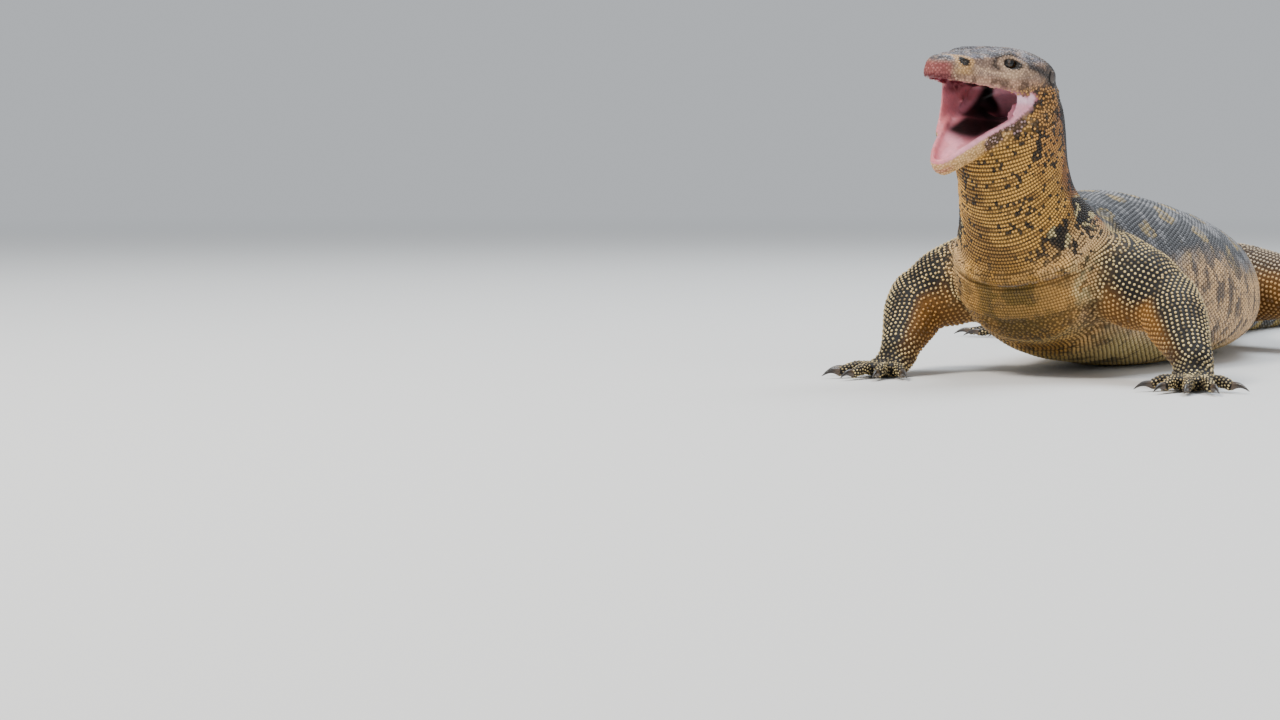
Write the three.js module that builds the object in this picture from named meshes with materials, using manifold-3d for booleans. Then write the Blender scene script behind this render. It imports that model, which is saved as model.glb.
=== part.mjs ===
// A water monitor lizard at life size, lying on its belly with its head raised and its jaws wide open.
// Millimetres, +Z up. It faces -Y, its tail runs towards +Y and its left side is +X.
// The origin is the middle of the flat under its belly, on the floor that it lies on.
import * as THREE from "three";
import { mergeVertices } from "three/addons/utils/BufferGeometryUtils.js";
import Module from "manifold-3d";

const wasm = await Module();
wasm.setup();

// Clearance between neighbouring parts, and the floor that every flat lies on.
const GAP = 0.3;
const FLOOR = 0;
const FLOOR_BLOCK = 4000;

// Counts of sides round a section and of steps from one row of a table to the next.
const TRUNK_MESH = { sides: 24, steps: 2 };
const TAIL_MESH = { sides: 12, steps: 2, blunt: true };
const NECK_MESH = { sides: 22, steps: 1 };
const HEAD_MESH = { sides: 24, steps: 2 };
const JAW_MESH = { sides: 20, steps: 1 };
const MOUTH_MESH = { sides: 10, steps: 1 };
const LIP_MESH = { sides: 6, steps: 1, blunt: true };
const WEB_MESH = { sides: 6, steps: 1, blunt: true };
const LIMB_MESH = { sides: 12, steps: 1 };
const TOE_MESH = { sides: 7, steps: 1, blunt: true };
const CLAW_MESH = { sides: 5, steps: 1, blunt: true };
const BALL_MESH = { around: 12, down: 7 };
const MERGE_WITHIN = 1e-4;

// The rings of a dome, in degrees from its foot, and how sharply the tail's crest is drawn to a line.
const DOME_RINGS = [35, 65];
const BLUNT_RINGS = [50];
const CREST_SHARPNESS = 24;

const UP = new THREE.Vector3(0, 0, 1);
const AHEAD = new THREE.Vector3(0, -1, 0);
const BACK = new THREE.Vector3(0, 1, 0);

// Each table row is one section: its centre x, y, z, its half width, its reach above the centre
// and its reach below it.
const TRUNK = [
  [0, -222, 70, 54, 42, 44],
  [0, -195, 73, 64, 58, 55],
  [0, -155, 69, 70, 72, 60],
  [0, -110, 62, 77, 81, 58.5],
  [-1, -60, 56, 84, 82, 57.5],
  [-4, 0, 51, 88, 79, 53],
  [-10, 60, 48, 86, 72, 50],
  [-19, 110, 47, 76, 61, 48.5],
  [-29, 150, 48, 62, 50, 45],
  [-39, 195, 51, 56, 43, 44],
  [-48, 235, 48, 50, 37, 42],
  [-55, 265, 44, 44, 33, 41],
  [-61, 300, 39, 36, 33, 40],
];
const TAIL = [
  [-55, 265, 44, 44, 33, 41],
  [-61, 300, 39, 36, 33, 40],
  [-69, 370, 34, 28, 33, 35.5],
  [-72, 450, 31, 22, 31, 32.5],
  [-65, 550, 27.5, 17.5, 28, 29],
  [-46, 650, 23.5, 14, 24, 25],
  [-16, 750, 20, 11.5, 20, 21.5],
  [22, 850, 16.5, 9.5, 17, 18],
  [58, 950, 13.5, 7.8, 14, 15],
  [84, 1050, 10.5, 6, 11, 12],
  [98, 1150, 7.5, 4.4, 8, 9],
  [100, 1240, 5, 3, 5, 6.5],
  [92, 1316, 3, 2, 3.2, 4.5],
];
const NECK = [
  [0, -196, 78, 68, 40, 62],
  [-1, -212, 104, 62, 40, 57],
  [-2, -230, 132, 47, 33, 51],
  [-2, -242, 156, 42, 35, 48],
  [-3, -248, 182, 42, 44, 46],
  [-3, -247, 206, 38, 44, 38],
  [-3, -244, 222, 32, 33, 26],
];
const TRUNK_DOME = [28, 8];
const TAIL_DOME = [8, 3];
const NECK_DOME = [6, 8];

// How square a section is: 2 draws an oval.
const OVAL = 2;
const TRUNK_SQUARE = 2.2;
const HEAD_SQUARE = 2.3;

// The low crest along the top of the tail, as a raised top line.
const TAIL_CREST = 3;

// Where the trunk, the tail and the neck are parted.
const TAIL_CUTS = [
  { at: [-55, 265, 44], along: [-0.2, 1, 0] },
  { at: [-65, 550, 27], along: [0.12, 1, 0] },
  { at: [22, 850, 16], along: [0.36, 1, 0] },
];
const NECK_CUT = { at: [0, -214, 102], along: [0, -0.55, 0.83] };
const THROAT_CUT = { at: [-2, -250, 183], along: [0, -0.56, 0.83] };

// The head and the jaw are laid out facing -Y with the jaw hinge at their origin, then set on the neck.
const HEAD_AT = [-3, -250, 225];
const HEAD_TURN = { yaw: -9, pitch: 1, roll: -5.8 };
const GAPE = 37;
const HINGE_Z = -3;
const HEAD = [
  [0, 24, 4, 26, 12.5, 18],
  [0, 10, 5, 32.5, 16, 19],
  [0, -8, 6, 36.5, 18.5, 19],
  [0, -24, 6, 36.5, 18.5, 15.5],
  [0, -42, 6, 30.5, 15.5, 11.5],
  [0, -60, 6, 23.5, 12, 9.5],
  [0, -76, 6, 18, 10.5, 8],
  [0, -88, 6, 13.5, 10, 7],
  [0, -96, 5.5, 8.5, 8.5, 6],
];
const JAW = [
  [0, 14, -15, 34, 9, 12],
  [0, -5, -14, 36, 9, 14],
  [0, -24, -13, 35, 5, 14],
  [0, -43, -10, 29.5, 5, 16],
  [0, -62, -8, 22.5, 5, 15],
  [0, -81, -7, 16.5, 5, 13],
  [0, -97, -6.5, 9, 4.5, 10.5],
];
const THROAT = [
  [0, -62, -25, 19, 19, 19],
  [0, -35, -19, 24, 14, 15],
  [0, -10, -17, 21, 10, 11],
  [0, 12, -26, 14, 9, 9],
  [0, 25, -46, 9, 8, 8],
];
const HEAD_DOME = [8, 6];
const JAW_DOME = [6, 7.5];
const THROAT_DOME = [6, 6];
const LIP_DOME = [2, 2];
const BROW_DOME = [3, 3];
const ROOF_DOME = [4, 3];
const UNDER_DOME = [4, 2];
const LIP_WALL = 4.5;
const LIP_RADIUS = 2.6;
const PALATE_RISE = 6;
const FLOOR_DROP = 5;
const MOUTH_REACH = 9;
const MOUTH_CORNER_Y = -19;

const EYE = { at: [20, -36, 12.3], radius: 7.2, lid: 1.1, slit: [7, 6.4, 3.1], slitShift: [5.6, -2.4, -0.3] };
const BROW = [
  [15, -20, 20.5, 5, 4, 4],
  [21, -37, 18.5, 5.5, 4, 4],
  [18.5, -56, 14.5, 3.5, 3, 3],
  [15, -74, 13.5, 2.5, 2, 2],
];
const NOSTRIL = { at: [14.5, -79, 11.5], size: [4, 3.2, 2.3] };
const EAR = { at: [36.2, 6, 5], cup: [3.6, 5.4, 7], drum: [1.3, 3.6, 4.8] };
const CHEEK = [
  [33, 6, -9, 5, 11, 11],
  [33, -4, -11, 5, 10, 10],
  [33, -10, -12, 4, 7, 7],
];
const CHEEK_DOME = [3, 4];

// The stretched web of skin in each mouth corner: its rows run down from the upper lip to the lower one.
// The right one is drawn further ahead.
const WEB_LEFT = [
  [31, -24, -2, 2.6, 11, 14],
  [31, -21, -10, 1.6, 12.5, 9],
  [31, -21, -19, 1.6, 13, 7],
  [30.5, -25, -29, 1.6, 13, 7],
];
const WEB_RIGHT = [
  [-30.5, -26, -2, 2.6, 17, 16],
  [-29.5, -29, -14, 1.8, 15.5, 19],
  [-28.5, -34, -25, 1.8, 12, 13],
  [-26, -42, -37, 1.8, 7.5, 8],
  [-23, -50, -47, 1.8, 5, 6],
];
const WEB_DOME = [2, 2];

// One row for each limb: its joints, the radii of its two lengths, the way its foot points and its toes.
const FINGERS = { lengths: [22, 31, 35, 34, 23], spread: [-52, -24, -2, 20, 55] };
const TOES = { lengths: [26, 38, 50, 60, 33], spread: [-40, -20, -3, 13, 52] };
const LIMBS = [
  {
    upper: "upper_arm_left", lower: "forearm_left", foot: "hand_left", side: 1,
    root: [52, -190, 80], knee: [107, -204, 59], ankle: [146, -250, 20],
    upperRadii: [34, 33, 31, 24], lowerRadii: [24, 23.5, 19, 14.5],
    heading: 18, palm: { length: 30, wide: 16 }, digits: FINGERS,
  },
  {
    upper: "upper_arm_right", lower: "forearm_right", foot: "hand_right", side: -1,
    root: [-52, -190, 78], knee: [-100, -205, 57], ankle: [-90, -258, 20],
    upperRadii: [34, 33, 31, 24], lowerRadii: [24, 23.5, 19, 14.5],
    heading: 10, palm: { length: 30, wide: 16 }, digits: FINGERS,
  },
  {
    upper: "thigh_left", lower: "shank_left", foot: "foot_left", side: 1,
    root: [-20, 212, 58], knee: [80, 172, 54], ankle: [100, 236, 21],
    upperRadii: [36, 35, 30, 23], lowerRadii: [23, 24, 18, 14],
    heading: 48, palm: { length: 44, wide: 16 }, digits: TOES,
  },
  {
    upper: "thigh_right", lower: "shank_right", foot: "foot_right", side: -1,
    root: [-66, 212, 58], knee: [-160, 180, 54], ankle: [-176, 246, 21],
    upperRadii: [36, 35, 30, 23], lowerRadii: [23, 24, 18, 14],
    heading: 52, palm: { length: 44, wide: 16 }, digits: TOES,
  },
];
const LIMB_DOME = [6, 6];

// A palm's sections, each as the part of its length, its height and its half width, reach above and below.
// The first two heights are shares of the ankle's.
const PALM_START = { part: -0.1, height: 1, wide: 1, above: 0.9, below: 1 };
const PALM_RISE = { part: 0.2, height: 0.6, wide: 0.95, above: 0.75, sunk: 1 };
const PALM_MIDDLE = { part: 0.55, height: 8, wide: 1, above: 7, below: 9 };
const PALM_END = { part: 0.85, height: 6, wide: 0.95, above: 5.5, below: 7 };
const PALM_DOME = [4, 5];

// Toes leave the palm along a curve across its front, and arch to a tip set just off the floor.
const MIDDLE_TOE = 2;
const KNUCKLE_REACH = 0.82;
const KNUCKLE_FALL = 0.1;
const TOE_RADIUS = 5.4;
const TOE_TIP_RADIUS = 3.9;
const TOE_ARCH = 3;
const TOE_PARTS = [0, 0.4, 0.75, 1];
const TOE_PAD = 1;
const TOE_LIFT = 0.5;
const TOE_DOME = [2, 3];

const CLAW = { length: 15, radius: 3.1, drop: 2.4, arch: 1.2, taper: 0.86, flat: 0.8 };
const CLAW_PARTS = [0, 0.5, 1];
const CLAW_DOME = [1, 0.8];

const FLESH = {
  head: new THREE.MeshStandardMaterial({ color: 0x8a7e74, roughness: 0.55 }),
  throat: new THREE.MeshStandardMaterial({ color: 0xb08c56, roughness: 0.6 }),
  back: new THREE.MeshStandardMaterial({ color: 0x4c4a4c, roughness: 0.6 }),
  limb: new THREE.MeshStandardMaterial({ color: 0x4a4034, roughness: 0.6 }),
  eye: new THREE.MeshStandardMaterial({ color: 0x1c1612, roughness: 0.08 }),
  drum: new THREE.MeshStandardMaterial({ color: 0x75685c, roughness: 0.5 }),
  claw: new THREE.MeshStandardMaterial({ color: 0x2a2420, roughness: 0.35 }),
};

// A table's row at a place between its rows, on a smooth curve through them.
function rowAt(rows, place) {
  const last = rows.length - 1;
  const index = Math.min(Math.floor(place), last - 1);
  const t = place - index;
  const around = [index - 1, index, index + 1, index + 2].map((i) => rows[Math.min(Math.max(i, 0), last)]);
  return rows[0].map((_, k) => {
    const [a, b, c, d] = around.map((row) => row[k]);
    const bend = (2 * a - 5 * b + 4 * c - d) * t * t + (3 * b - a - 3 * c + d) * t * t * t;
    return 0.5 * (2 * b + (c - a) * t + bend);
  });
}

// A closed solid from its points and the triangles over them, turned so that its faces point out.
function solid(points, triangles) {
  let volume = 0;
  for (const [a, b, c] of triangles) {
    volume += points[a].dot(new THREE.Vector3().crossVectors(points[b], points[c]));
  }
  const faces = volume < 0 ? triangles.map(([a, b, c]) => [a, c, b]) : triangles;
  return new wasm.Manifold(new wasm.Mesh({
    numProp: 3,
    vertProperties: new Float32Array(points.flatMap((p) => p.toArray())),
    triVerts: new Uint32Array(faces.flat()),
  }));
}

// A tube through a table's sections, each an oval across the path, closed by a dome at either end.
// The side that reaches high faces the way that upward gives, and crest raises its top line.
function tube(rows, mesh, { upward = UP, dome, square = OVAL, grow = 0, crest = 0 }) {
  const { sides, steps, blunt = false } = mesh;
  const count = (rows.length - 1) * steps;
  const spine = [];
  for (let k = 0; k <= count; k += 1) {
    spine.push(rowAt(rows, k / steps));
  }
  const centres = spine.map((row) => new THREE.Vector3(row[0], row[1], row[2]));
  const rings = centres.map((centre, k) => {
    const before = centres[Math.max(k - 1, 0)];
    const after = centres[Math.min(k + 1, count)];
    const along = after.clone().sub(before).normalize();
    const across = new THREE.Vector3().crossVectors(along, upward).normalize();
    const over = new THREE.Vector3().crossVectors(across, along);
    const [wide, high, low] = spine[k].slice(3).map((reach) => reach + grow);
    return { centre, along, across, over, wide, high, low, crest, shrink: 1 };
  });
  const domed = [];
  for (const [ring, length, sign] of [[rings[0], dome[0] + grow, -1], [rings[count], dome[1] + grow, 1]]) {
    domed.push((blunt ? BLUNT_RINGS : DOME_RINGS).map((degrees) => {
      const angle = THREE.MathUtils.degToRad(degrees);
      const centre = ring.centre.clone().addScaledVector(ring.along, sign * length * Math.sin(angle));
      return { ...ring, centre, crest: ring.crest * Math.cos(angle), shrink: Math.cos(angle) };
    }));
  }
  const every = [...domed[0].reverse(), ...rings, ...domed[1]];
  const points = [];
  for (const ring of every) {
    for (let k = 0; k < sides; k += 1) {
      const angle = (2 * Math.PI * k) / sides;
      const [c, s] = [Math.cos(angle), Math.sin(angle)];
      const reach = s > 0 ? ring.high : ring.low;
      const flat = Math.sign(c) * Math.abs(c) ** (2 / square) * ring.wide * ring.shrink;
      const rise = Math.sign(s) * Math.abs(s) ** (2 / square) * reach * ring.shrink;
      const peak = s > 0 ? ring.crest * s ** CREST_SHARPNESS : 0;
      const point = ring.centre.clone().addScaledVector(ring.across, flat);
      points.push(point.addScaledVector(ring.over, rise + peak));
    }
  }
  const start = rings[0].centre.clone().addScaledVector(rings[0].along, -dome[0] - grow);
  const finish = rings[count].centre.clone().addScaledVector(rings[count].along, dome[1] + grow);
  points.push(start, finish);
  const triangles = [];
  for (let k = 0; k < sides; k += 1) {
    const next = (k + 1) % sides;
    for (let ring = 0; ring < every.length - 1; ring += 1) {
      const [here, there] = [ring * sides, (ring + 1) * sides];
      triangles.push([here + k, there + k, there + next], [here + k, there + next, here + next]);
    }
    const end = (every.length - 1) * sides;
    triangles.push([points.length - 2, k, next], [points.length - 1, end + next, end + k]);
  }
  return solid(points, triangles);
}

// A closed solid from one of the library's shapes.
function fromGeometry(geometry) {
  geometry.deleteAttribute("normal");
  geometry.deleteAttribute("uv");
  const merged = mergeVertices(geometry, MERGE_WITHIN);
  const place = merged.getAttribute("position");
  const points = [];
  for (let k = 0; k < place.count; k += 1) {
    points.push(new THREE.Vector3().fromBufferAttribute(place, k));
  }
  const index = Array.from(merged.index.array);
  const triangles = [];
  for (let k = 0; k < index.length; k += 3) {
    const corner = index.slice(k, k + 3);
    if (new Set(corner).size === 3) {
      triangles.push(corner);
    }
  }
  return solid(points, triangles);
}

function ball([x, y, z], [rx, ry, rz]) {
  const geometry = new THREE.SphereGeometry(1, BALL_MESH.around, BALL_MESH.down);
  geometry.scale(rx, ry, rz);
  geometry.translate(x, y, z);
  return fromGeometry(geometry);
}

function join(solids) {
  return solids.reduce((whole, piece) => whole.add(piece));
}

// The largest closed piece of a solid.
function largest(whole) {
  return whole.decompose().reduce((best, piece) => (piece.volume() > best.volume() ? piece : best));
}

// The part of a solid beyond a plane, or short of it, half a gap away from it.
function beyond(whole, cut, side = 1) {
  const normal = new THREE.Vector3(...cut.along).normalize().multiplyScalar(side);
  const offset = normal.dot(new THREE.Vector3(...cut.at)) + GAP / 2;
  return whole.trimByPlane(normal.toArray(), offset);
}

const floorBox = new THREE.BoxGeometry(FLOOR_BLOCK, FLOOR_BLOCK, FLOOR_BLOCK);
floorBox.translate(0, 0, FLOOR - FLOOR_BLOCK / 2);
const floorBlock = fromGeometry(floorBox);

// The same shape on the other side of the head's midline.
function mirrored([x, ...rest]) {
  return [-x, ...rest];
}

// Both sides of a form that is drawn on the left of the head.
function pair(make) {
  return join([make((point) => point), make(mirrored)]);
}

function headMatrix() {
  const turns = [-HEAD_TURN.pitch, -HEAD_TURN.roll, HEAD_TURN.yaw].map(THREE.MathUtils.degToRad);
  const turn = new THREE.Euler(...turns, "ZXY");
  return new THREE.Matrix4().compose(
    new THREE.Vector3(...HEAD_AT),
    new THREE.Quaternion().setFromEuler(turn),
    new THREE.Vector3(1, 1, 1),
  );
}

// The jaw swings down about its hinge from the place where the mouth is shut.
function jawMatrix() {
  const away = new THREE.Matrix4().makeTranslation(0, 0, -HINGE_Z);
  const swing = new THREE.Matrix4().makeRotationX(THREE.MathUtils.degToRad(GAPE));
  const back = new THREE.Matrix4().makeTranslation(0, 0, HINGE_Z);
  return back.multiply(swing).multiply(away);
}

function moved(whole, matrix) {
  return whole.transform(matrix.toArray());
}

// Rows along one lip, from a mouth corner round the front to the other, on the edge of a jaw's table.
function lipRows(rows, edge, dome) {
  const front = rows.filter((row) => row[1] < MOUTH_CORNER_Y);
  const size = [LIP_RADIUS, LIP_RADIUS, LIP_RADIUS];
  const left = front.map(([, y, z, wide, high, low]) => {
    return [wide - LIP_RADIUS, y, edge > 0 ? z + high : z - low, ...size];
  });
  const last = front[front.length - 1];
  const tip = [0, last[1] - dome + LIP_RADIUS, left[left.length - 1][2], ...size];
  return [...left, tip, ...left.map(mirrored).reverse()];
}

// The hollow behind a jaw's lips, that leaves the lips standing as a wall.
function mouthRows(rows, edge, reach) {
  const inside = rows.filter((row) => row[1] < 0);
  return inside.map(([x, y, z, wide, high, low]) => {
    const lip = edge > 0 ? z + high : z - low;
    const reaches = edge > 0 ? [MOUTH_REACH, reach] : [reach, MOUTH_REACH];
    return [x, y, lip, wide - LIP_WALL, ...reaches];
  });
}

function upperHead() {
  const skull = tube(HEAD, HEAD_MESH, { dome: HEAD_DOME, square: HEAD_SQUARE });
  const lip = tube(lipRows(HEAD, -1, HEAD_DOME[1]), LIP_MESH, { dome: LIP_DOME });
  const brows = pair((side) => tube(BROW.map(side), LIP_MESH, { dome: BROW_DOME }));
  const lids = pair((side) => {
    const reach = EYE.radius + EYE.lid;
    return ball(side(EYE.at), [reach, reach, reach]);
  });
  return join([skull, lip, brows, lids]);
}

function lowerHead() {
  const bone = tube(JAW, JAW_MESH, { dome: JAW_DOME, square: HEAD_SQUARE });
  const lip = tube(lipRows(JAW, 1, JAW_DOME[1]), LIP_MESH, { dome: LIP_DOME });
  return bone.add(lip);
}

// Everything that is hollow in the head: mouth, throat, nostrils, eye sockets, lid slits and ear cups.
function headHollows(jaw) {
  const roof = tube(mouthRows(HEAD, -1, PALATE_RISE), MOUTH_MESH, { dome: ROOF_DOME });
  const under = moved(tube(mouthRows(JAW, 1, FLOOR_DROP), MOUTH_MESH, { dome: UNDER_DOME }), jaw);
  const throat = tube(THROAT, MOUTH_MESH, { dome: THROAT_DOME });
  const nostrils = pair((side) => ball(side(NOSTRIL.at), NOSTRIL.size));
  const socket = EYE.radius + GAP;
  const sockets = pair((side) => ball(side(EYE.at), [socket, socket, socket]));
  const slits = pair((side) => ball(side(EYE.at.map((value, k) => value + EYE.slitShift[k])), EYE.slit));
  const cups = pair((side) => ball(side(EAR.at), EAR.cup));
  return join([roof, under, throat, nostrils, sockets, slits, cups]);
}

const headPlace = headMatrix();
const jawPlace = jawMatrix();
const cheeks = pair((side) => tube(CHEEK.map(side), LIP_MESH, { dome: CHEEK_DOME }));
const neckTube = tube(NECK, NECK_MESH, { upward: BACK, dome: NECK_DOME });
const trunkTube = tube(TRUNK, TRUNK_MESH, { dome: TRUNK_DOME, square: TRUNK_SQUARE });
const tailTube = tube(TAIL, TAIL_MESH, { dome: TAIL_DOME, crest: TAIL_CREST });
const jawSolid = moved(lowerHead(), jawPlace);
const headSolid = moved(join([upperHead(), jawSolid, cheeks]), headPlace);
const hollows = moved(headHollows(jawPlace), headPlace);
const webs = [WEB_LEFT, WEB_RIGHT].map((rows) => tube(rows, WEB_MESH, { upward: AHEAD, dome: WEB_DOME }));
const raised = join([neckTube, headSolid]).subtract(hollows).add(moved(join(webs), headPlace));
const lying = join([trunkTube, tailTube]).subtract(floorBlock);

// The jaw and the upper head part along the plane that halves the gape.
function jawCut() {
  const half = THREE.MathUtils.degToRad(GAPE / 2);
  const at = new THREE.Vector3(0, 0, HINGE_Z).applyMatrix4(headPlace);
  const along = new THREE.Vector3(0, -Math.sin(half), Math.cos(half)).transformDirection(headPlace);
  return { at: at.toArray(), along: along.toArray() };
}

// A limb's length between two joints, with its radii spaced evenly between them.
function limbTube(from, to, radii) {
  const last = radii.length - 1;
  const rows = radii.map((radius, k) => {
    const point = new THREE.Vector3(...from).lerp(new THREE.Vector3(...to), k / last);
    return [...point.toArray(), radius, radius, radius];
  });
  return tube(rows, LIMB_MESH, { upward: AHEAD, dome: LIMB_DOME });
}

// The plane across a joint, square to the way from one length of the limb to the next.
function jointCut(before, joint, after) {
  const arriving = new THREE.Vector3(...joint).sub(new THREE.Vector3(...before)).normalize();
  const leaving = new THREE.Vector3(...after).sub(new THREE.Vector3(...joint)).normalize();
  return { at: joint, along: arriving.add(leaving).toArray() };
}

// The way that each toe points, as a unit vector on the floor.
function toeWay(limb, digit) {
  const angle = THREE.MathUtils.degToRad(limb.heading + limb.digits.spread[digit]);
  return new THREE.Vector3(limb.side * Math.sin(angle), -Math.cos(angle), 0);
}

// Where the toes leave the palm, spread across its front.
function knuckle(limb, digit) {
  const angle = THREE.MathUtils.degToRad(limb.heading);
  const ahead = new THREE.Vector3(limb.side * Math.sin(angle), -Math.cos(angle), 0);
  const outward = new THREE.Vector3(limb.side * Math.cos(angle), Math.sin(angle), 0);
  const place = digit - MIDDLE_TOE;
  const across = (place / MIDDLE_TOE) * (limb.palm.wide - TOE_RADIUS);
  const reach = limb.palm.length * (KNUCKLE_REACH - KNUCKLE_FALL * Math.abs(place));
  return new THREE.Vector3(limb.ankle[0], limb.ankle[1], TOE_RADIUS)
    .addScaledVector(ahead, reach)
    .addScaledVector(outward, across);
}

// The blunt end of a toe, where its claw is set.
function toeEnd(limb, digit) {
  const end = knuckle(limb, digit).addScaledVector(toeWay(limb, digit), limb.digits.lengths[digit]);
  end.z = TOE_TIP_RADIUS + TOE_LIFT;
  return end;
}

function toe(limb, digit) {
  const start = knuckle(limb, digit);
  const end = toeEnd(limb, digit);
  const rows = TOE_PARTS.map((part) => {
    const radius = THREE.MathUtils.lerp(TOE_RADIUS, TOE_TIP_RADIUS, part);
    const point = start.clone().lerp(end, part);
    point.z += TOE_ARCH * Math.sin(Math.PI * part);
    return [...point.toArray(), radius, radius, radius + TOE_PAD];
  });
  const whole = tube(rows, TOE_MESH, { dome: TOE_DOME });
  return beyond(whole, { at: end.toArray(), along: toeWay(limb, digit).toArray() }, -1);
}

function claw(limb, digit) {
  const way = toeWay(limb, digit);
  const start = toeEnd(limb, digit).addScaledVector(way, -GAP);
  const rows = CLAW_PARTS.map((part) => {
    const radius = CLAW.radius * (1 - CLAW.taper * part);
    const point = start.clone().addScaledVector(way, CLAW.length * part);
    const height = start.z + CLAW.arch * Math.sin(Math.PI * part) - CLAW.drop * part * part;
    return [point.x, point.y, height, radius * CLAW.flat, radius, radius];
  });
  const whole = tube(rows, CLAW_MESH, { dome: CLAW_DOME });
  return beyond(whole, { at: toeEnd(limb, digit).toArray(), along: way.toArray() }).subtract(floorBlock);
}

function palmRows(limb) {
  const angle = THREE.MathUtils.degToRad(limb.heading);
  const ahead = new THREE.Vector3(limb.side * Math.sin(angle), -Math.cos(angle), 0);
  const wrist = limb.lowerRadii[limb.lowerRadii.length - 1];
  const { wide, length: long } = limb.palm;
  const [start, rise] = [PALM_START, PALM_RISE];
  const startHeight = limb.ankle[2] * start.height;
  const riseHeight = limb.ankle[2] * rise.height;
  const sections = [
    [start.part, startHeight, wrist * start.wide, wrist * start.above, wrist * start.below],
    [rise.part, riseHeight, wide * rise.wide, wrist * rise.above, riseHeight + rise.sunk],
    ...[PALM_MIDDLE, PALM_END].map((row) => [row.part, row.height, wide * row.wide, row.above, row.below]),
  ];
  return sections.map(([part, z, ...reach]) => {
    const point = new THREE.Vector3(limb.ankle[0], limb.ankle[1], z).addScaledVector(ahead, part * long);
    return [...point.toArray(), ...reach];
  });
}

const placed = new THREE.Group();

function place(name, whole, material) {
  const { numProp, vertProperties, triVerts } = largest(whole).getMesh();
  const geometry = new THREE.BufferGeometry();
  const position = new Float32Array((vertProperties.length / numProp) * 3);
  for (let k = 0; k < position.length / 3; k += 1) {
    position.set(vertProperties.subarray(k * numProp, k * numProp + 3), k * 3);
  }
  geometry.setAttribute("position", new THREE.BufferAttribute(position, 3));
  geometry.setIndex(new THREE.BufferAttribute(triVerts, 1));
  geometry.computeVertexNormals();
  const mesh = new THREE.Mesh(geometry, material);
  mesh.name = name;
  placed.add(mesh);
}

// Head, jaw and neck.
const skullAndJaw = beyond(raised, THROAT_CUT);
place("head", beyond(skullAndJaw, jawCut()), FLESH.head);
place("lower_jaw", beyond(skullAndJaw, jawCut(), -1), FLESH.throat);
place("neck", beyond(beyond(raised, THROAT_CUT, -1), NECK_CUT), FLESH.throat);

// Eyes and ear drums, each on its own side.
for (const [name, side] of [["left", (point) => point], ["right", mirrored]]) {
  const eye = ball(side(EYE.at), [EYE.radius, EYE.radius, EYE.radius]);
  place(`eye_${name}`, moved(eye, headPlace), FLESH.eye);
  const [x, y, z] = EAR.at;
  const drum = ball(side([x - EAR.cup[0] + EAR.drum[0] + GAP, y, z]), EAR.drum);
  place(`ear_${name}`, moved(drum, headPlace), FLESH.drum);
}

// Trunk and tail, parted from the neck and from each other.
place("torso", beyond(beyond(lying, NECK_CUT, -1), TAIL_CUTS[0], -1), FLESH.back);
["tail_base", "tail_middle", "tail_end"].forEach((name, k) => {
  const from = beyond(lying, TAIL_CUTS[k]);
  place(name, k < 2 ? beyond(from, TAIL_CUTS[k + 1], -1) : from, FLESH.back);
});

// Limbs, cut clear of the trunk and the neck that they grow from.
const trunkRoom = tube(TRUNK, TRUNK_MESH, { dome: TRUNK_DOME, square: TRUNK_SQUARE, grow: GAP });
const neckRoom = tube(NECK, NECK_MESH, { upward: BACK, dome: NECK_DOME, grow: GAP });
const bodyRoom = trunkRoom.add(neckRoom);
for (const limb of LIMBS) {
  const upperEnd = limb.upperRadii[limb.upperRadii.length - 1];
  const lowerEnd = limb.lowerRadii[limb.lowerRadii.length - 1];
  const kneeBall = ball(limb.knee, [upperEnd, upperEnd, upperEnd]);
  const ankleBall = ball(limb.ankle, [lowerEnd, lowerEnd, lowerEnd]);
  const kneeCut = jointCut(limb.root, limb.knee, limb.ankle);
  const footFront = knuckle(limb, MIDDLE_TOE).toArray();
  const ankleCut = jointCut(limb.knee, limb.ankle, footFront);
  const upperTube = limbTube(limb.root, limb.knee, limb.upperRadii);
  const lowerTube = limbTube(limb.knee, limb.ankle, limb.lowerRadii);
  const upper = beyond(upperTube.add(kneeBall), kneeCut, -1);
  const lower = beyond(beyond(join([lowerTube, kneeBall, ankleBall]), kneeCut), ankleCut, -1);
  const palm = tube(palmRows(limb), LIMB_MESH, { dome: PALM_DOME });
  const toes = limb.digits.lengths.map((_, digit) => toe(limb, digit));
  const foot = beyond(join([palm, ankleBall, ...toes]), ankleCut);
  place(limb.upper, upper.subtract(bodyRoom).subtract(floorBlock), FLESH.limb);
  place(limb.lower, lower.subtract(bodyRoom).subtract(floorBlock), FLESH.limb);
  place(limb.foot, foot.subtract(floorBlock), FLESH.limb);
  limb.digits.lengths.forEach((_, digit) => {
    place(`claw_${limb.foot}_${digit + 1}`, claw(limb, digit), FLESH.claw);
  });
}

export default placed;
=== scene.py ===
"""The looks of a life-size water monitor lizard, lying on a plain pale floor with its jaws wide open.

Tables are in millimetres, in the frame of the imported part: it faces -Y, its left side is +X and the floor
is z = 0. One skin is grown round the body's forms and hollowed for the mouth. Scales are laid over it in
rows, each with a colour that the skin under it shares. Eyes, ear drums and claws are pieces of their own.
"""

import math
from dataclasses import dataclass

import bmesh
import bpy
import numpy as np
from mathutils import Matrix, Vector
from mathutils.bvhtree import BVHTree
from mathutils.kdtree import KDTree


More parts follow.
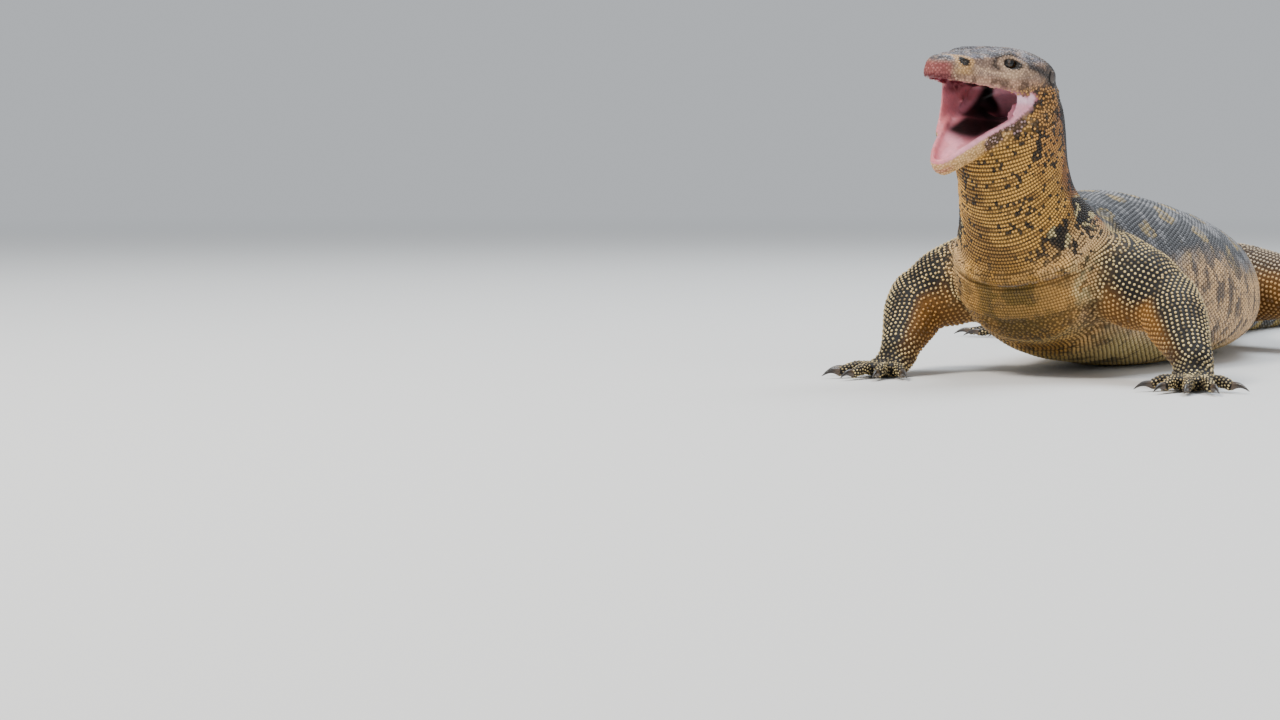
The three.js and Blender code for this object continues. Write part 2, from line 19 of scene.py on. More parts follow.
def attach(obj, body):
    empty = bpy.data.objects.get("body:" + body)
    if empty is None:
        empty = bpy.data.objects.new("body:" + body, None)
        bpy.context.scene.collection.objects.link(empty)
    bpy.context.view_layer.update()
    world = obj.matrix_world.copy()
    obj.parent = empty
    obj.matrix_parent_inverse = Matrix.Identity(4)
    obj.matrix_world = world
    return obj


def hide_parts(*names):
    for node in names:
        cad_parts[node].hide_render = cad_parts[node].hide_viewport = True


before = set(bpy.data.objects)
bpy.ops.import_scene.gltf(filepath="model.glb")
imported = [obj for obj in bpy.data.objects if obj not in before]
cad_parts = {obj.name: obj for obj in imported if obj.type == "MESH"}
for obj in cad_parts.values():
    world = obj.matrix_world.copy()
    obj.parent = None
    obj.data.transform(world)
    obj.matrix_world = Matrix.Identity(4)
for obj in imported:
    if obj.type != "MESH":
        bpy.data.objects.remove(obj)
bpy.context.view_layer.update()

MM = 0.001
UP = np.array([0.0, 0.0, 1.0])
AHEAD = np.array([0.0, -1.0, 0.0])
BACK = np.array([0.0, 1.0, 0.0])
SEED = 11

# Each row is one section of the body: its centre x, y, z, its half width, and its reach above and below
# the centre.
TRUNK = [
    [0, -222, 70, 54, 42, 44],
    [0, -195, 73, 64, 58, 55],
    [0, -155, 69, 70, 72, 60],
    [0, -110, 62, 77, 81, 58.5],
    [-1, -60, 56, 84, 82, 57.5],
    [-4, 0, 51, 88, 79, 53],
    [-10, 60, 48, 86, 72, 50],
    [-19, 110, 47, 76, 61, 48.5],
    [-29, 150, 48, 62, 50, 45],
    [-39, 195, 51, 56, 43, 44],
    [-48, 235, 48, 50, 37, 42],
    [-55, 265, 44, 44, 33, 41],
    [-61, 300, 39, 36, 33, 40],
]
TAIL = [
    [-55, 265, 44, 44, 33, 41],
    [-61, 300, 39, 36, 33, 40],
    [-69, 370, 34, 28, 33, 35.5],
    [-72, 450, 31, 22, 31, 32.5],
    [-65, 550, 27.5, 17.5, 28, 29],
    [-46, 650, 23.5, 14, 24, 25],
    [-16, 750, 20, 11.5, 20, 21.5],
    [22, 850, 16.5, 9.5, 17, 18],
    [58, 950, 13.5, 7.8, 14, 15],
    [84, 1050, 10.5, 6, 11, 12],
    [98, 1150, 7.5, 4.4, 8, 9],
    [100, 1240, 5, 3, 5, 6.5],
    [92, 1316, 3, 2, 3.2, 4.5],
]
NECK = [
    [0, -196, 78, 68, 40, 62],
    [-1, -212, 104, 62, 40, 57],
    [-2, -230, 132, 47, 33, 51],
    [-2, -242, 156, 42, 35, 48],
    [-3, -248, 182, 42, 44, 46],
    [-3, -247, 206, 38, 44, 38],
    [-3, -244, 222, 32, 33, 26],
]
TRUNK_SQUARE = 2.2
# How high the tail's crest stands, and how sharp it is. A path's ends are domed in steps of these angles.
TAIL_CREST = 3
CREST_SHARP = 24
DOME_ANGLES = np.radians([20, 40, 60, 75])
NECK_CUT = {"at": [0, -214, 102], "along": [0, -0.55, 0.83]}
# How far the neck's rows of scales rise towards its nape, and between which places along it this sets in.
NECK_LEAN = 0.45
LEAN_STARTS = (30, 65)

# The head and the jaw face -Y with the jaw hinge at their origin, before they are set on the neck.
HEAD_AT = [-3, -250, 225]
HEAD_TURN = {"yaw": -9, "pitch": 1, "roll": -5.8}
GAPE = 37
HINGE_Z = -3
HEAD = [
    [0, 24, 4, 26, 12.5, 18],
    [0, 10, 5, 32.5, 16, 19],
    [0, -8, 6, 36.5, 18.5, 19],
    [0, -24, 6, 36.5, 18.5, 15.5],
    [0, -42, 6, 30.5, 15.5, 11.5],
    [0, -60, 6, 23.5, 12, 9.5],
    [0, -76, 6, 18, 10.5, 8],
    [0, -88, 6, 13.5, 10, 7],
    [0, -96, 5.5, 8.5, 8.5, 6],
]
JAW = [
    [0, 14, -15, 34, 9, 12],
    [0, -5, -14, 36, 9, 14],
    [0, -24, -13, 35, 5, 14],
    [0, -43, -10, 29.5, 5, 16],
    [0, -62, -8, 22.5, 5, 15],
    [0, -81, -7, 16.5, 5, 13],
    [0, -97, -6.5, 9, 4.5, 10.5],
]
THROAT = [
    [0, -62, -25, 19, 19, 19],
    [0, -35, -19, 24, 14, 15],
    [0, -10, -17, 21, 10, 11],
    [0, 12, -26, 14, 9, 9],
    [0, 25, -46, 9, 8, 8],
]
HEAD_DOME = [8, 6]
JAW_DOME = [6, 7.5]
HEAD_SQUARE = 2.3
LIP_WALL = 4.5
LIP_RADIUS = 2.6
# What backs the upper lip: how much higher and thicker than the lip it runs.
LIP_BACKING = [0, 0, 3.4, 0.3, 0.3, 0.3]
PALATE_RISE = 6
FLOOR_DROP = 5
MOUTH_REACH = 9
MOUTH_CORNER_Y = -19

EYE = {
    "at": [20, -36, 12.3], "radius": 7.2, "lid": 1.1,
    "slit": [7, 6.4, 3.1], "slit_shift": [5.6, -2.4, -0.3],
}
BROW = [
    [15, -20, 20.5, 5, 4, 4],
    [21, -37, 18.5, 5.5, 4, 4],
    [18.5, -56, 14.5, 3.5, 3, 3],
    [15, -74, 13.5, 2.5, 2, 2],
]
NOSTRIL = {"at": [14.5, -79, 11.5], "size": [4, 3.2, 2.3]}
EAR = {"at": [36.2, 6, 5], "cup": [3.6, 5.4, 7], "drum": [1.3, 3.6, 4.8]}
CHEEK = [
    [33, 6, -9, 5, 11, 11],
    [33, -4, -11, 5, 10, 10],
    [33, -10, -12, 4, 7, 7],
]

# The web of skin in each mouth corner: its rows run down from the upper lip to the lower one.
# The right one is drawn further ahead.
WEBS = [
    [
        [31, -24, -2, 2.6, 11, 14],
        [31, -21, -10, 1.6, 12.5, 9],
        [31, -21, -19, 1.6, 13, 7],
        [30.5, -25, -29, 1.6, 13, 7],
    ],
    [
        [-30.5, -26, -2, 2.6, 17, 16],
        [-29.5, -29, -14, 1.8, 15.5, 19],
        [-28.5, -34, -25, 1.8, 12, 13],
        [-26, -42, -37, 1.8, 7.5, 8],
        [-23, -50, -47, 1.8, 5, 6],
    ],
]

# One row for each limb: its joints, the radii of its two lengths, the way its foot points and its toes.
FINGERS = {"lengths": [22, 31, 35, 34, 23], "spread": [-52, -24, -2, 20, 55]}
TOES = {"lengths": [26, 38, 50, 60, 33], "spread": [-40, -20, -3, 13, 52]}
ARM = {"upper": [34, 33, 31, 24], "lower": [24, 23.5, 19, 14.5], "palm": 30, "digits": FINGERS}
LEG = {"upper": [36, 35, 30, 23], "lower": [23, 24, 18, 14], "palm": 44, "digits": TOES}
LIMBS = {
    "arm_left": {
        "root": [52, -190, 80], "knee": [107, -204, 59], "ankle": [146, -250, 20],
        "side": 1, "heading": 18, "foot": "hand_left", **ARM,
    },
    "arm_right": {
        "root": [-52, -190, 78], "knee": [-100, -205, 57], "ankle": [-90, -258, 20],
        "side": -1, "heading": 10, "foot": "hand_right", **ARM,
    },
    "leg_left": {
        "root": [-20, 212, 58], "knee": [80, 172, 54], "ankle": [100, 236, 21],
        "side": 1, "heading": 48, "foot": "foot_left", **LEG,
    },
    "leg_right": {
        "root": [-66, 212, 58], "knee": [-160, 180, 54], "ankle": [-176, 246, 21],
        "side": -1, "heading": 52, "foot": "foot_right", **LEG,
    },
}
PALM_WIDE = 16
TOE_RADIUS = 5.4
TOE_TIP_RADIUS = 3.9
TOE_ARCH = 3
TOE_PARTS = (0, 0.4, 0.75, 1)
# Where the middle knuckle stands along the palm, and how much further back each one beside it does.
KNUCKLE = {"at": 0.82, "back": 0.1}
CLAW = {"length": 15, "radius": 3.1, "drop": 2.4, "rise": 1.6, "root": 1.5, "flat": 0.75, "taper": 0.9}
CLAW_PARTS = (0, 0.2, 0.4, 0.6, 0.8, 1)
GAP = 0.3

# The scales of each group: how far apart they stand along and across the body, the share of each distance
# that they fill, and their height.
ARM_BEADS = {"row": 3.8, "across": 4.1, "long": 0.6, "wide": 0.58, "high": 0.95}
LEG_BEADS = {"row": 4.0, "across": 4.4, "long": 0.7, "wide": 0.68, "high": 0.9}
SCALES = {
    "head": {"row": 2.2, "across": 2.2, "long": 0.97, "wide": 0.97, "high": 0.22},
    "jaw": {"row": 2.2, "across": 2.2, "long": 0.95, "wide": 0.96, "high": 0.28},
    "neck": {"row": 2.4, "across": 2.35, "long": 0.84, "wide": 1.08, "high": 0.5},
    "trunk": {"row": 3.5, "across": 3.6, "long": 0.9, "wide": 0.96, "high": 0.55},
    "tail": {"row": 4.4, "across": 3.5, "long": 0.93, "wide": 0.93, "high": 0.6},
    "arm_left": ARM_BEADS, "arm_right": ARM_BEADS, "leg_left": LEG_BEADS, "leg_right": LEG_BEADS,
}
TOE_SCALE = {"row": 3.0, "across": 3.0, "high": 0.5}
TAIL_TIP_SHARE = 0.55
# How close two scales may stand, as a share of their sizes, in the rows and in the gaps that rows leave.
CLOSENESS = {"rows": 0.6, "gaps": 0.84}
# How far the skin may lie from a path's own surface for a row to reach it: a share of the reach, and more.
SLACK_SHARE = 0.25
SLACK = 3
# How far from the mouth's lining and from the small hollows scales begin, and how far the wet finish goes.
SMOOTH_EDGE = 2.6
HOLLOW_EDGE = 0.9
WET_EDGE = 2.2
# How much of a scale's own colour its base, its shoulder and its top take. The rest is the skin's.
# So each scale darkens from its top to its foot: painted shade round its foot, and a painted highlight on
# its top.
SCALE_TONES = [0.0, 0.8, 1.0]
# How unevenly bright they are, and how much of that the head and the jaw are spared.
UNEVEN = 0.24
CALM = 0.6
# How many of them one piece has at most, and how large a patch of the bake map each has.
SCALES_A_PIECE = 10000
PATCH = 0.003

# How far the skin lies inside the body's forms, which leaves room for the scales.
COAT = 0.6
VOXEL = 1.6
# How high over the floor the skin and the scales' edges keep.
FLOOR_CLEAR = 0.5
SCALE_CLEAR = 0.15
CLAW_CLEAR = 0.1


def noise(points, size, seed=0):
    """Smooth noise from 0 to 1 over space, with lumps about size millimetres across."""
    cell = np.asarray(points) / size + 1000.0 + seed * 7.31
    base = np.floor(cell).astype(np.int64)
    part = cell - base
    part = part * part * (3 - 2 * part)
    total = np.zeros(len(cell))
    for corner in np.ndindex(2, 2, 2):
        at = base + corner
        key = (at[:, 0] * 73856093) ^ (at[:, 1] * 19349663) ^ (at[:, 2] * 83492791) ^ (seed * 2654435)
        key = ((key ^ (key >> 13)) * 1274126177) & 0xFFFFFFFF
        value = ((key ^ (key >> 15)) & 0xFFFF) / 65535
        share = np.prod(np.where(corner, part, 1 - part), axis=1)
        total += value * share
    return total


def unit(vectors):
    return vectors / np.maximum(np.linalg.norm(vectors, axis=-1, keepdims=True), 1e-9)


def ramp(value, low, high):
    """0 below low, 1 above high, and smooth between them."""
    part = np.clip((value - low) / (high - low), 0, 1)
    return part * part * (3 - 2 * part)


def samples(rows, steps):
    """Rows on a smooth curve through a table's rows, the same curve as in the solids."""
    rows = np.array(rows, float)
    padded = np.vstack([rows[:1], rows, rows[-1:]])
    out = []
    for k in range(len(rows) - 1):
        a, b, c, d = padded[k:k + 4]
        for t in np.arange(steps) / steps:
            bend = (2 * a - 5 * b + 4 * c - d) * t * t + (3 * b - a - 3 * c + d) * t ** 3
            out.append(0.5 * (2 * b + (c - a) * t + bend))
    out.append(rows[-1])
    return np.array(out)


@dataclass
class Path:
    """A tube's sections: their centres, axes, reaches and distance along it. Lean is how far the rows of
    scales rise on the upper side of each section, as a share of its reach there."""

    centre: np.ndarray
    along: np.ndarray
    across: np.ndarray
    over: np.ndarray
    wide: np.ndarray
    high: np.ndarray
    low: np.ndarray
    distance: np.ndarray
    lean: np.ndarray
    square: float


def path(rows, steps=6, upward=UP, square=2.0, place=None, lean=0.0):
    """A path through a table's rows, set in the body's frame."""
    table = samples(rows, steps)
    centre = table[:, :3]
    if place is not None:
        centre = centre @ place[:3, :3].T + place[:3, 3]
        upward = place[:3, :3] @ upward
    before = np.vstack([centre[:1], centre[:-1]])
    after = np.vstack([centre[1:], centre[-1:]])
    along = unit(after - before)
    across = unit(np.cross(along, upward))
    over = np.cross(across, along)
    step = np.linalg.norm(np.diff(centre, axis=0), axis=1)
    distance = np.concatenate([[0], np.cumsum(step)])
    leans = lean * ramp(distance, *LEAN_STARTS)
    return Path(centre, along, across, over, *table[:, 3:].T, distance, leans, square)


def outline(square, sides):
    """Points round a section, as shares of its reach across and over it."""
    angle = 2 * np.pi * np.arange(sides) / sides
    c, s = np.cos(angle), np.sin(angle)
    flat = np.sign(c) * np.abs(c) ** (2 / square)
    rise = np.sign(s) * np.abs(s) ** (2 / square)
    return flat, rise


def shell(way, sides=48, dome=(4, 4), grow=0.0, crest=0.0):
    """A closed surface round a path, with a dome at either end, as points and faces."""
    flat, rise = outline(way.square, sides)
    last = len(way.centre) - 1
    sections = [(0, -math.sin(a) * (dome[0] + grow), math.cos(a)) for a in DOME_ANGLES[::-1]]
    sections += [(k, 0.0, 1.0) for k in range(last + 1)]
    sections += [(last, math.sin(a) * (dome[1] + grow), math.cos(a)) for a in DOME_ANGLES]
    points = []
    for k, shift, shrink in sections:
        over = np.where(rise > 0, way.high[k] + grow, way.low[k] + grow) * rise
        over = over + crest * np.clip(rise, 0, 1) ** CREST_SHARP
        sideways = np.outer(flat * (way.wide[k] + grow) * shrink, way.across[k])
        ring = sideways + np.outer(over * shrink, way.over[k])
        points.append(way.centre[k] + way.along[k] * shift + ring)
    points.append([way.centre[0] - way.along[0] * (dome[0] + grow)])
    points.append([way.centre[last] + way.along[last] * (dome[1] + grow)])
    count = len(sections)
    faces = []
    for ring in range(count - 1):
        here, there = ring * sides, (ring + 1) * sides
        for k in range(sides):
            after = (k + 1) % sides
            faces.append((here + k, here + after, there + after, there + k))
    first, end = count * sides, count * sides + 1
    tail_ring = (count - 1) * sides
    for k in range(sides):
        after = (k + 1) % sides
        faces.append((first, after, k))
        faces.append((end, tail_ring + k, tail_ring + after))
    return np.vstack(points), faces


def ball(at, size, place=None, around=40, down=24):
    """A closed ellipsoid as points and faces."""
    rings = np.pi * np.arange(1, down) / down
    turn = 2 * np.pi * np.arange(around) / around
    sphere = [
        (math.sin(a) * math.cos(b), math.sin(a) * math.sin(b), math.cos(a)) for a in rings for b in turn
    ]
    points = np.array([*sphere, (0, 0, 1), (0, 0, -1)]) * size + at
    faces = []
    for ring in range(down - 2):
        here, there = ring * around, (ring + 1) * around
        for k in range(around):
            after = (k + 1) % around
            faces.append((here + k, there + k, there + after, here + after))
    top, bottom, last = len(points) - 2, len(points) - 1, (down - 2) * around
    for k in range(around):
        after = (k + 1) % around
        faces.append((top, k, after))
        faces.append((bottom, last + after, last + k))
    return (points if place is None else turned(points, place)), faces


def turned(points, place):
    """Points set from one set of axes into another."""
    return points @ place[:3, :3].T + place[:3, 3]


def mirrored(row):
    return [-row[0], *row[1:]]


def on_side(at, side):
    """A place of the left side, or its mirror image on the right."""
    return at if side > 0 else mirrored(at)


def both_sides(rows):
    return [rows, [mirrored(row) for row in rows]]


def matrix_of(rotation, at):
    """A turn and a shift as one matrix."""
    place = np.eye(4)
    place[:3, :3] = np.array(rotation.to_3x3())
    place[:3, 3] = at
    return place


def head_matrix():
    """Where the head's own axes lie in the body's frame."""
    yaw = Matrix.Rotation(math.radians(HEAD_TURN["yaw"]), 3, "Z")
    pitch = Matrix.Rotation(-math.radians(HEAD_TURN["pitch"]), 3, "X")
    roll = Matrix.Rotation(-math.radians(HEAD_TURN["roll"]), 3, "Y")
    return matrix_of(yaw @ pitch @ roll, HEAD_AT)


def jaw_matrix():
    """The jaw's swing about its hinge, in the head's axes."""
    swing = matrix_of(Matrix.Rotation(math.radians(GAPE), 3, "X"), [0, 0, 0])
    swing[:3, 3] = np.array([0, 0, HINGE_Z]) - swing[:3, :3] @ [0, 0, HINGE_Z]
    return swing


HEAD_PLACE = head_matrix()
JAW_PLACE = HEAD_PLACE @ jaw_matrix()
TO_HEAD = np.linalg.inv(HEAD_PLACE)
TO_JAW = np.linalg.inv(JAW_PLACE)


def lip_rows(rows, edge, dome):
    """Rows along one lip, from a mouth corner round the front to the other."""
    front = [row for row in rows if row[1] < MOUTH_CORNER_Y]
    size = [LIP_RADIUS] * 3
    side = []
    for _, y, z, wide, high, low in front:
        side.append([wide - LIP_RADIUS, y, z + high if edge > 0 else z - low, *size])
    tip = [0, front[-1][1] - dome + LIP_RADIUS, side[-1][2], *size]
    return [*side, tip, *[mirrored(row) for row in reversed(side)]]


def mouth_rows(rows, edge, reach):
    """Rows of the hollow behind a jaw's lips."""
    out = []
    for x, y, z, wide, high, low in rows:
        if y < 0 and edge > 0:
            out.append([x, y, z + high, wide - LIP_WALL, MOUTH_REACH, reach])
        elif y < 0:
            out.append([x, y, z - low, wide - LIP_WALL, reach, MOUTH_REACH])
    return out


def limb_path(start, end, radii):
    """Round sections of one straight length of a limb."""
    rows = []
    for k, radius in enumerate(radii):
        point = np.array(start) + (np.array(end) - start) * k / (len(radii) - 1)
        rows.append([*point, radius, radius, radius])
    return rows


def heading(limb):
    """The level ways that point ahead of a foot and away from the body."""
    angle = math.radians(limb["heading"])
    ahead = np.array([limb["side"] * math.sin(angle), -math.cos(angle), 0])
    outward = np.array([limb["side"] * math.cos(angle), math.sin(angle), 0])
    return ahead, outward


def toe_way(limb, digit):
    """The level way that a toe points."""
    angle = math.radians(limb["heading"] + limb["digits"]["spread"][digit])
    return np.array([limb["side"] * math.sin(angle), -math.cos(angle), 0])


def knuckle(limb, digit):
    ahead, outward = heading(limb)
    across = (digit - 2) / 2 * (PALM_WIDE - TOE_RADIUS)
    reach = limb["palm"] * (KNUCKLE["at"] - KNUCKLE["back"] * abs(digit - 2))
    return np.array([limb["ankle"][0], limb["ankle"][1], TOE_RADIUS]) + ahead * reach + outward * across


def toe_end(limb, digit):
    end = knuckle(limb, digit) + toe_way(limb, digit) * limb["digits"]["lengths"][digit]
    end[2] = TOE_TIP_RADIUS + 0.5
    return end


def toe_rows(limb, digit):
    start, end = knuckle(limb, digit), toe_end(limb, digit)
    rows = []
    for part in TOE_PARTS:
        radius = TOE_RADIUS + (TOE_TIP_RADIUS - TOE_RADIUS) * part
        point = start + (end - start) * part
        point[2] += TOE_ARCH * math.sin(math.pi * part)
        rows.append([*point, radius, radius, radius + 1])
    return rows


def palm_rows(limb):
    """Sections of a palm: their part of its length, their height, half width, and reach up and down."""
    ahead, _ = heading(limb)
    wrist, height = limb["lower"][-1], limb["ankle"][2]
    profile = [
        [-0.1, height, wrist, wrist * 0.9, wrist],
        [0.2, height * 0.6, PALM_WIDE * 0.95, wrist * 0.75, height * 0.6 + 1],
        [0.55, 8, PALM_WIDE, 7, 9],
        [0.85, 6, PALM_WIDE * 0.95, 5.5, 7],
    ]
    rows = []
    for part, z, *reach in profile:
        x, y, _ = np.array(limb["ankle"]) + ahead * part * limb["palm"]
        rows.append([x, y, z, *reach])
    return rows


# The body's paths: they shape the skin, lay out the rows of scales and carry the markings.
PATHS = {
    "head": [path(HEAD, square=HEAD_SQUARE, place=HEAD_PLACE)],
    "jaw": [path(JAW, square=HEAD_SQUARE, place=JAW_PLACE)],
    "neck": [path(NECK, upward=BACK, lean=NECK_LEAN)],
    "trunk": [path(TRUNK, square=TRUNK_SQUARE)],
    "tail": [path(TAIL)],
}
for name, limb in LIMBS.items():
    lengths = [
        path(limb_path(limb["root"], limb["knee"], limb["upper"]), upward=AHEAD),
        path(limb_path(limb["knee"], limb["ankle"], limb["lower"]), upward=AHEAD),
        path(palm_rows(limb), 4),
    ]
    lengths += [path(toe_rows(limb, digit), 4) for digit in range(5)]
    reached = 0
    for k, way in enumerate(lengths):
        way.distance = way.distance + reached
        if k < 3:
            reached = way.distance[-1]
    PATHS[name] = lengths
GROUPS = list(PATHS)


def flesh_shells():
    """Closed surfaces that overlap and together make the body's flesh."""
    inner = -COAT
    lip_backing = np.array(lip_rows(HEAD, -1, HEAD_DOME[1])) + LIP_BACKING
    shells = [
        shell(PATHS["trunk"][0], dome=(28, 8), grow=inner),
        shell(PATHS["tail"][0], dome=(8, 3), grow=inner, crest=TAIL_CREST),
        shell(PATHS["neck"][0], dome=(6, 8), grow=inner),
        shell(PATHS["head"][0], dome=HEAD_DOME, grow=inner),
        shell(PATHS["jaw"][0], dome=JAW_DOME, grow=inner),
        shell(path(lip_rows(HEAD, -1, HEAD_DOME[1]), place=HEAD_PLACE), sides=16, dome=(2, 2)),
        shell(path(lip_backing, place=HEAD_PLACE), sides=16, dome=(2, 2)),
        shell(path(lip_rows(JAW, 1, JAW_DOME[1]), place=JAW_PLACE), sides=16, dome=(2, 2)),
    ]
    for rows, dome in ((BROW, (3, 3)), (CHEEK, (3, 4))):
        shells += [shell(path(side, place=HEAD_PLACE), 24, dome, inner) for side in both_sides(rows)]
    lid = EYE["radius"] + EYE["lid"]
    shells += [ball(on_side(EYE["at"], side), lid, HEAD_PLACE) for side in (1, -1)]
    for name, limb in LIMBS.items():
        upper, lower, palm, *toes = PATHS[name]
        knee, ankle = limb["upper"][-1] + inner, limb["lower"][-1] + inner
        shells += [
            shell(upper, dome=(6, 6), grow=inner),
            shell(lower, dome=(6, 6), grow=inner),
            shell(palm, dome=(4, 5), grow=inner),
            ball(limb["knee"], knee),
            ball(limb["ankle"], ankle),
        ]
        shells += [shell(toe, sides=20, dome=(2, 2), grow=inner * 0.5) for toe in toes]
    return shells


def mouth_shells():
    """Closed surfaces of the mouth's hollow and the throat behind it."""
    return [
        shell(path(mouth_rows(HEAD, -1, PALATE_RISE), place=HEAD_PLACE), dome=(4, 3)),
        shell(path(mouth_rows(JAW, 1, FLOOR_DROP), place=JAW_PLACE), dome=(4, 2)),
        shell(path(THROAT, place=HEAD_PLACE), dome=(6, 6)),
    ]


def small_hollows():
    """Nostrils, lid slits and ear cups."""
    slit = [a + b for a, b in zip(EYE["at"], EYE["slit_shift"])]
    hollows = []
    for at, size in ((NOSTRIL["at"], NOSTRIL["size"]), (slit, EYE["slit"]), (EAR["at"], EAR["cup"])):
        hollows += [ball(side, size, HEAD_PLACE) for side in (at, mirrored(at))]
    return hollows


def web_shells():
    """The stretched skin in the mouth corners, set in the mouth's hollow."""
    return [shell(path(rows, upward=AHEAD, place=HEAD_PLACE), sides=24, dome=(2, 2)) for rows in WEBS]


def add_object(name, data):
    made = bpy.data.objects.new(name, data)
    bpy.context.scene.collection.objects.link(made)
    return made


def mesh_object(name, points, faces):
    """An object from points in millimetres and faces."""
    mesh = bpy.data.meshes.new(name)
    mesh.from_pydata((np.asarray(points) * MM).tolist(), [], [tuple(face) for face in faces])
    mesh.update()
    return add_object(name, mesh)


def joined(shells):
    """Several closed surfaces as one list of points and one of faces."""
    points, faces, offset = [], [], 0
    for part_points, part_faces in shells:
        points.append(part_points)
        faces += [tuple(k + offset for k in face) for face in part_faces]
        offset += len(part_points)
    return np.vstack(points), faces


def apply(made):
    """The object's mesh becomes what its modifiers make of it."""
    graph = bpy.context.evaluated_depsgraph_get()
    mesh = bpy.data.meshes.new_from_object(made.evaluated_get(graph))
    old = made.data
    made.modifiers.clear()
    made.data = mesh
    bpy.data.meshes.remove(old)


def fuse(made, voxel):
    """An object's overlapping forms become one even surface."""
    remesh = made.modifiers.new("fuse", "REMESH")
    remesh.mode = "VOXEL"
    remesh.voxel_size = voxel * MM
    apply(made)
    return made


def add_forms(made, shells):
    """Adds closed surfaces to an object's mesh."""
    grown = bmesh.new()
    grown.from_mesh(made.data)
    extra = bpy.data.meshes.new("extra")
    points, faces = joined(shells)
    extra.from_pydata((points * MM).tolist(), [], faces)
    grown.from_mesh(extra)
    grown.to_mesh(made.data)
    grown.free()
    bpy.data.meshes.remove(extra)


def read(items, field, width, kind=np.float32):
    """One value of every vertex, edge or loop of a mesh, in rows of a width."""
    flat = np.empty(len(items) * width, kind)
    items.foreach_get(field, flat)
    return flat.reshape(-1, width)


def points_of(mesh):
    return read(mesh.vertices, "co", 3).astype(float) / MM


def normals_of(mesh):
    return read(mesh.vertices, "normal", 3).astype(float)


def edges_of(mesh):
    return read(mesh.edges, "vertices", 2, np.int32)


def squares_of(mesh):
    """The points of every face of a mesh that has only four-sided ones."""
    return read(mesh.loops, "vertex_index", 1, np.int32).reshape(-1, 4)


def set_points(mesh, points):
    mesh.vertices.foreach_set("co", (points * MM).astype(np.float32).ravel())
    mesh.update()


def smooth(mesh):
    mesh.polygons.foreach_set("use_smooth", np.ones(len(mesh.polygons), bool))


def lifted(points, clear):
    """Points with none of them lower than a height over the floor."""
    return np.column_stack([points[:, :2], np.maximum(points[:, 2], clear)])


def tree_of(points, faces):
    return BVHTree.FromPolygons([Vector(p) for p in points], faces)


def grow_skin():
    """The skin: flesh fused to one surface, with the mouth and the small hollows cut into it."""
    skin = fuse(mesh_object("skin", *joined(flesh_shells())), VOXEL)
    for hollows in (mouth_shells(), small_hollows()):
        cutter = fuse(mesh_object("hollow", *joined(hollows)), VOXEL / 2)
        cut = skin.modifiers.new("cut", "BOOLEAN")
        cut.operation = "DIFFERENCE"
        cut.solver = "MANIFOLD"
        cut.object = cutter
        apply(skin)
        bpy.data.objects.remove(cutter)
    add_forms(skin, web_shells())
    return fuse(skin, VOXEL)


@dataclass
class Place:
    """Where points lie on one group of paths: how far out, with 1 on its surface, how far along in
    millimetres, how far round in radians from its upper side, and the way that its path runs there."""

    out: np.ndarray
    along: np.ndarray
    turn: np.ndarray
    way: np.ndarray


def picked(record, which):
    """A record of arrays for some of its points."""
    return type(record)(*(value[which] for value in vars(record).values()))


# How ragged the edge is where a limb's scales run into the body's.
RAGGED = 0.3
NOWHERE = 9.0
POINTS_AT_ONCE = 10000


def locate(points):
    """The place of each point on every group of paths."""
    places, count = {}, len(points)
    for group, ways in PATHS.items():
        found = Place(np.full(count, NOWHERE), np.zeros(count), np.zeros(count), np.zeros((count, 3)))
        for way in ways:
            reach = max(way.wide.max(), way.high.max(), way.low.max()) + 15
            inside = (points > way.centre.min(0) - reach) & (points < way.centre.max(0) + reach)
            near = np.flatnonzero(inside.all(1))
            for start in range(0, len(near), POINTS_AT_ONCE):
                locate_on(way, points, near[start:start + POINTS_AT_ONCE], found)
        if group in LIMBS:
            found.out *= 1 + RAGGED * (noise(points, 9, 45) - 0.5)
        places[group] = found
    return places


def locate_on(way, points, some, found):
    """Notes the place on one path of the points for which it is the nearest of its group so far."""
    offset = points[some][:, None] - way.centre[None]
    across = np.einsum("pkc,kc->pk", offset, way.across)
    over = np.einsum("pkc,kc->pk", offset, way.over)
    along = np.einsum("pkc,kc->pk", offset, way.along)
    reach = np.where(over > 0, way.high, way.low)
    out = np.sqrt((across / way.wide) ** 2 + (over / reach) ** 2 + (along / (way.wide + reach) * 2) ** 2)
    best = np.argmin(out, axis=1)
    row = np.arange(len(some))
    closer = out[row, best] < found.out[some]
    some, best, row = some[closer], best[closer], row[closer]
    found.out[some] = out[row, best]
    found.along[some] = way.distance[best] + along[row, best] - way.lean[best] * over[row, best]
    found.turn[some] = np.arctan2(across[row, best], over[row, best])
    found.way[some] = way.along[best] - way.lean[best][:, None] * way.over[best]


# How sharply one group gives way to the next: the higher, the narrower the join.
JOIN = 7


def shares(places):
    """How much each group counts at each point, so that what they carry runs together at the joins."""
    weight = {group: np.exp(-JOIN * place.out ** 2) + 1e-12 for group, place in places.items()}
    total = sum(weight.values())
    return {group: value / total for group, value in weight.items()}


def neighbours_mean(points, edges, count):
    """The mean of each point's neighbours, of which there are count."""
    total = np.zeros_like(points)
    for k in range(points.shape[1]):
        total[:, k] = np.bincount(edges[:, 0], points[edges[:, 1], k], len(points))
        total[:, k] += np.bincount(edges[:, 1], points[edges[:, 0], k], len(points))
    return total / count[:, None]


def soften(mesh, rounds, hollow_pull, ridge_pull):
    """Smooths a mesh, with its hollow creases filled by one strength and its ridges worn by another."""
    points, edges = points_of(mesh), edges_of(mesh)
    count = np.bincount(edges.ravel(), minlength=len(points)).astype(float)
    for k in range(rounds):
        if k % 10 == 0:
            set_points(mesh, points)
            normals = normals_of(mesh)
        step = neighbours_mean(points, edges, count) - points
        outward = (step * normals).sum(1)
        pull = np.where(outward > 0, hollow_pull, ridge_pull)
        points = points + step * pull[:, None]
    set_points(mesh, points)


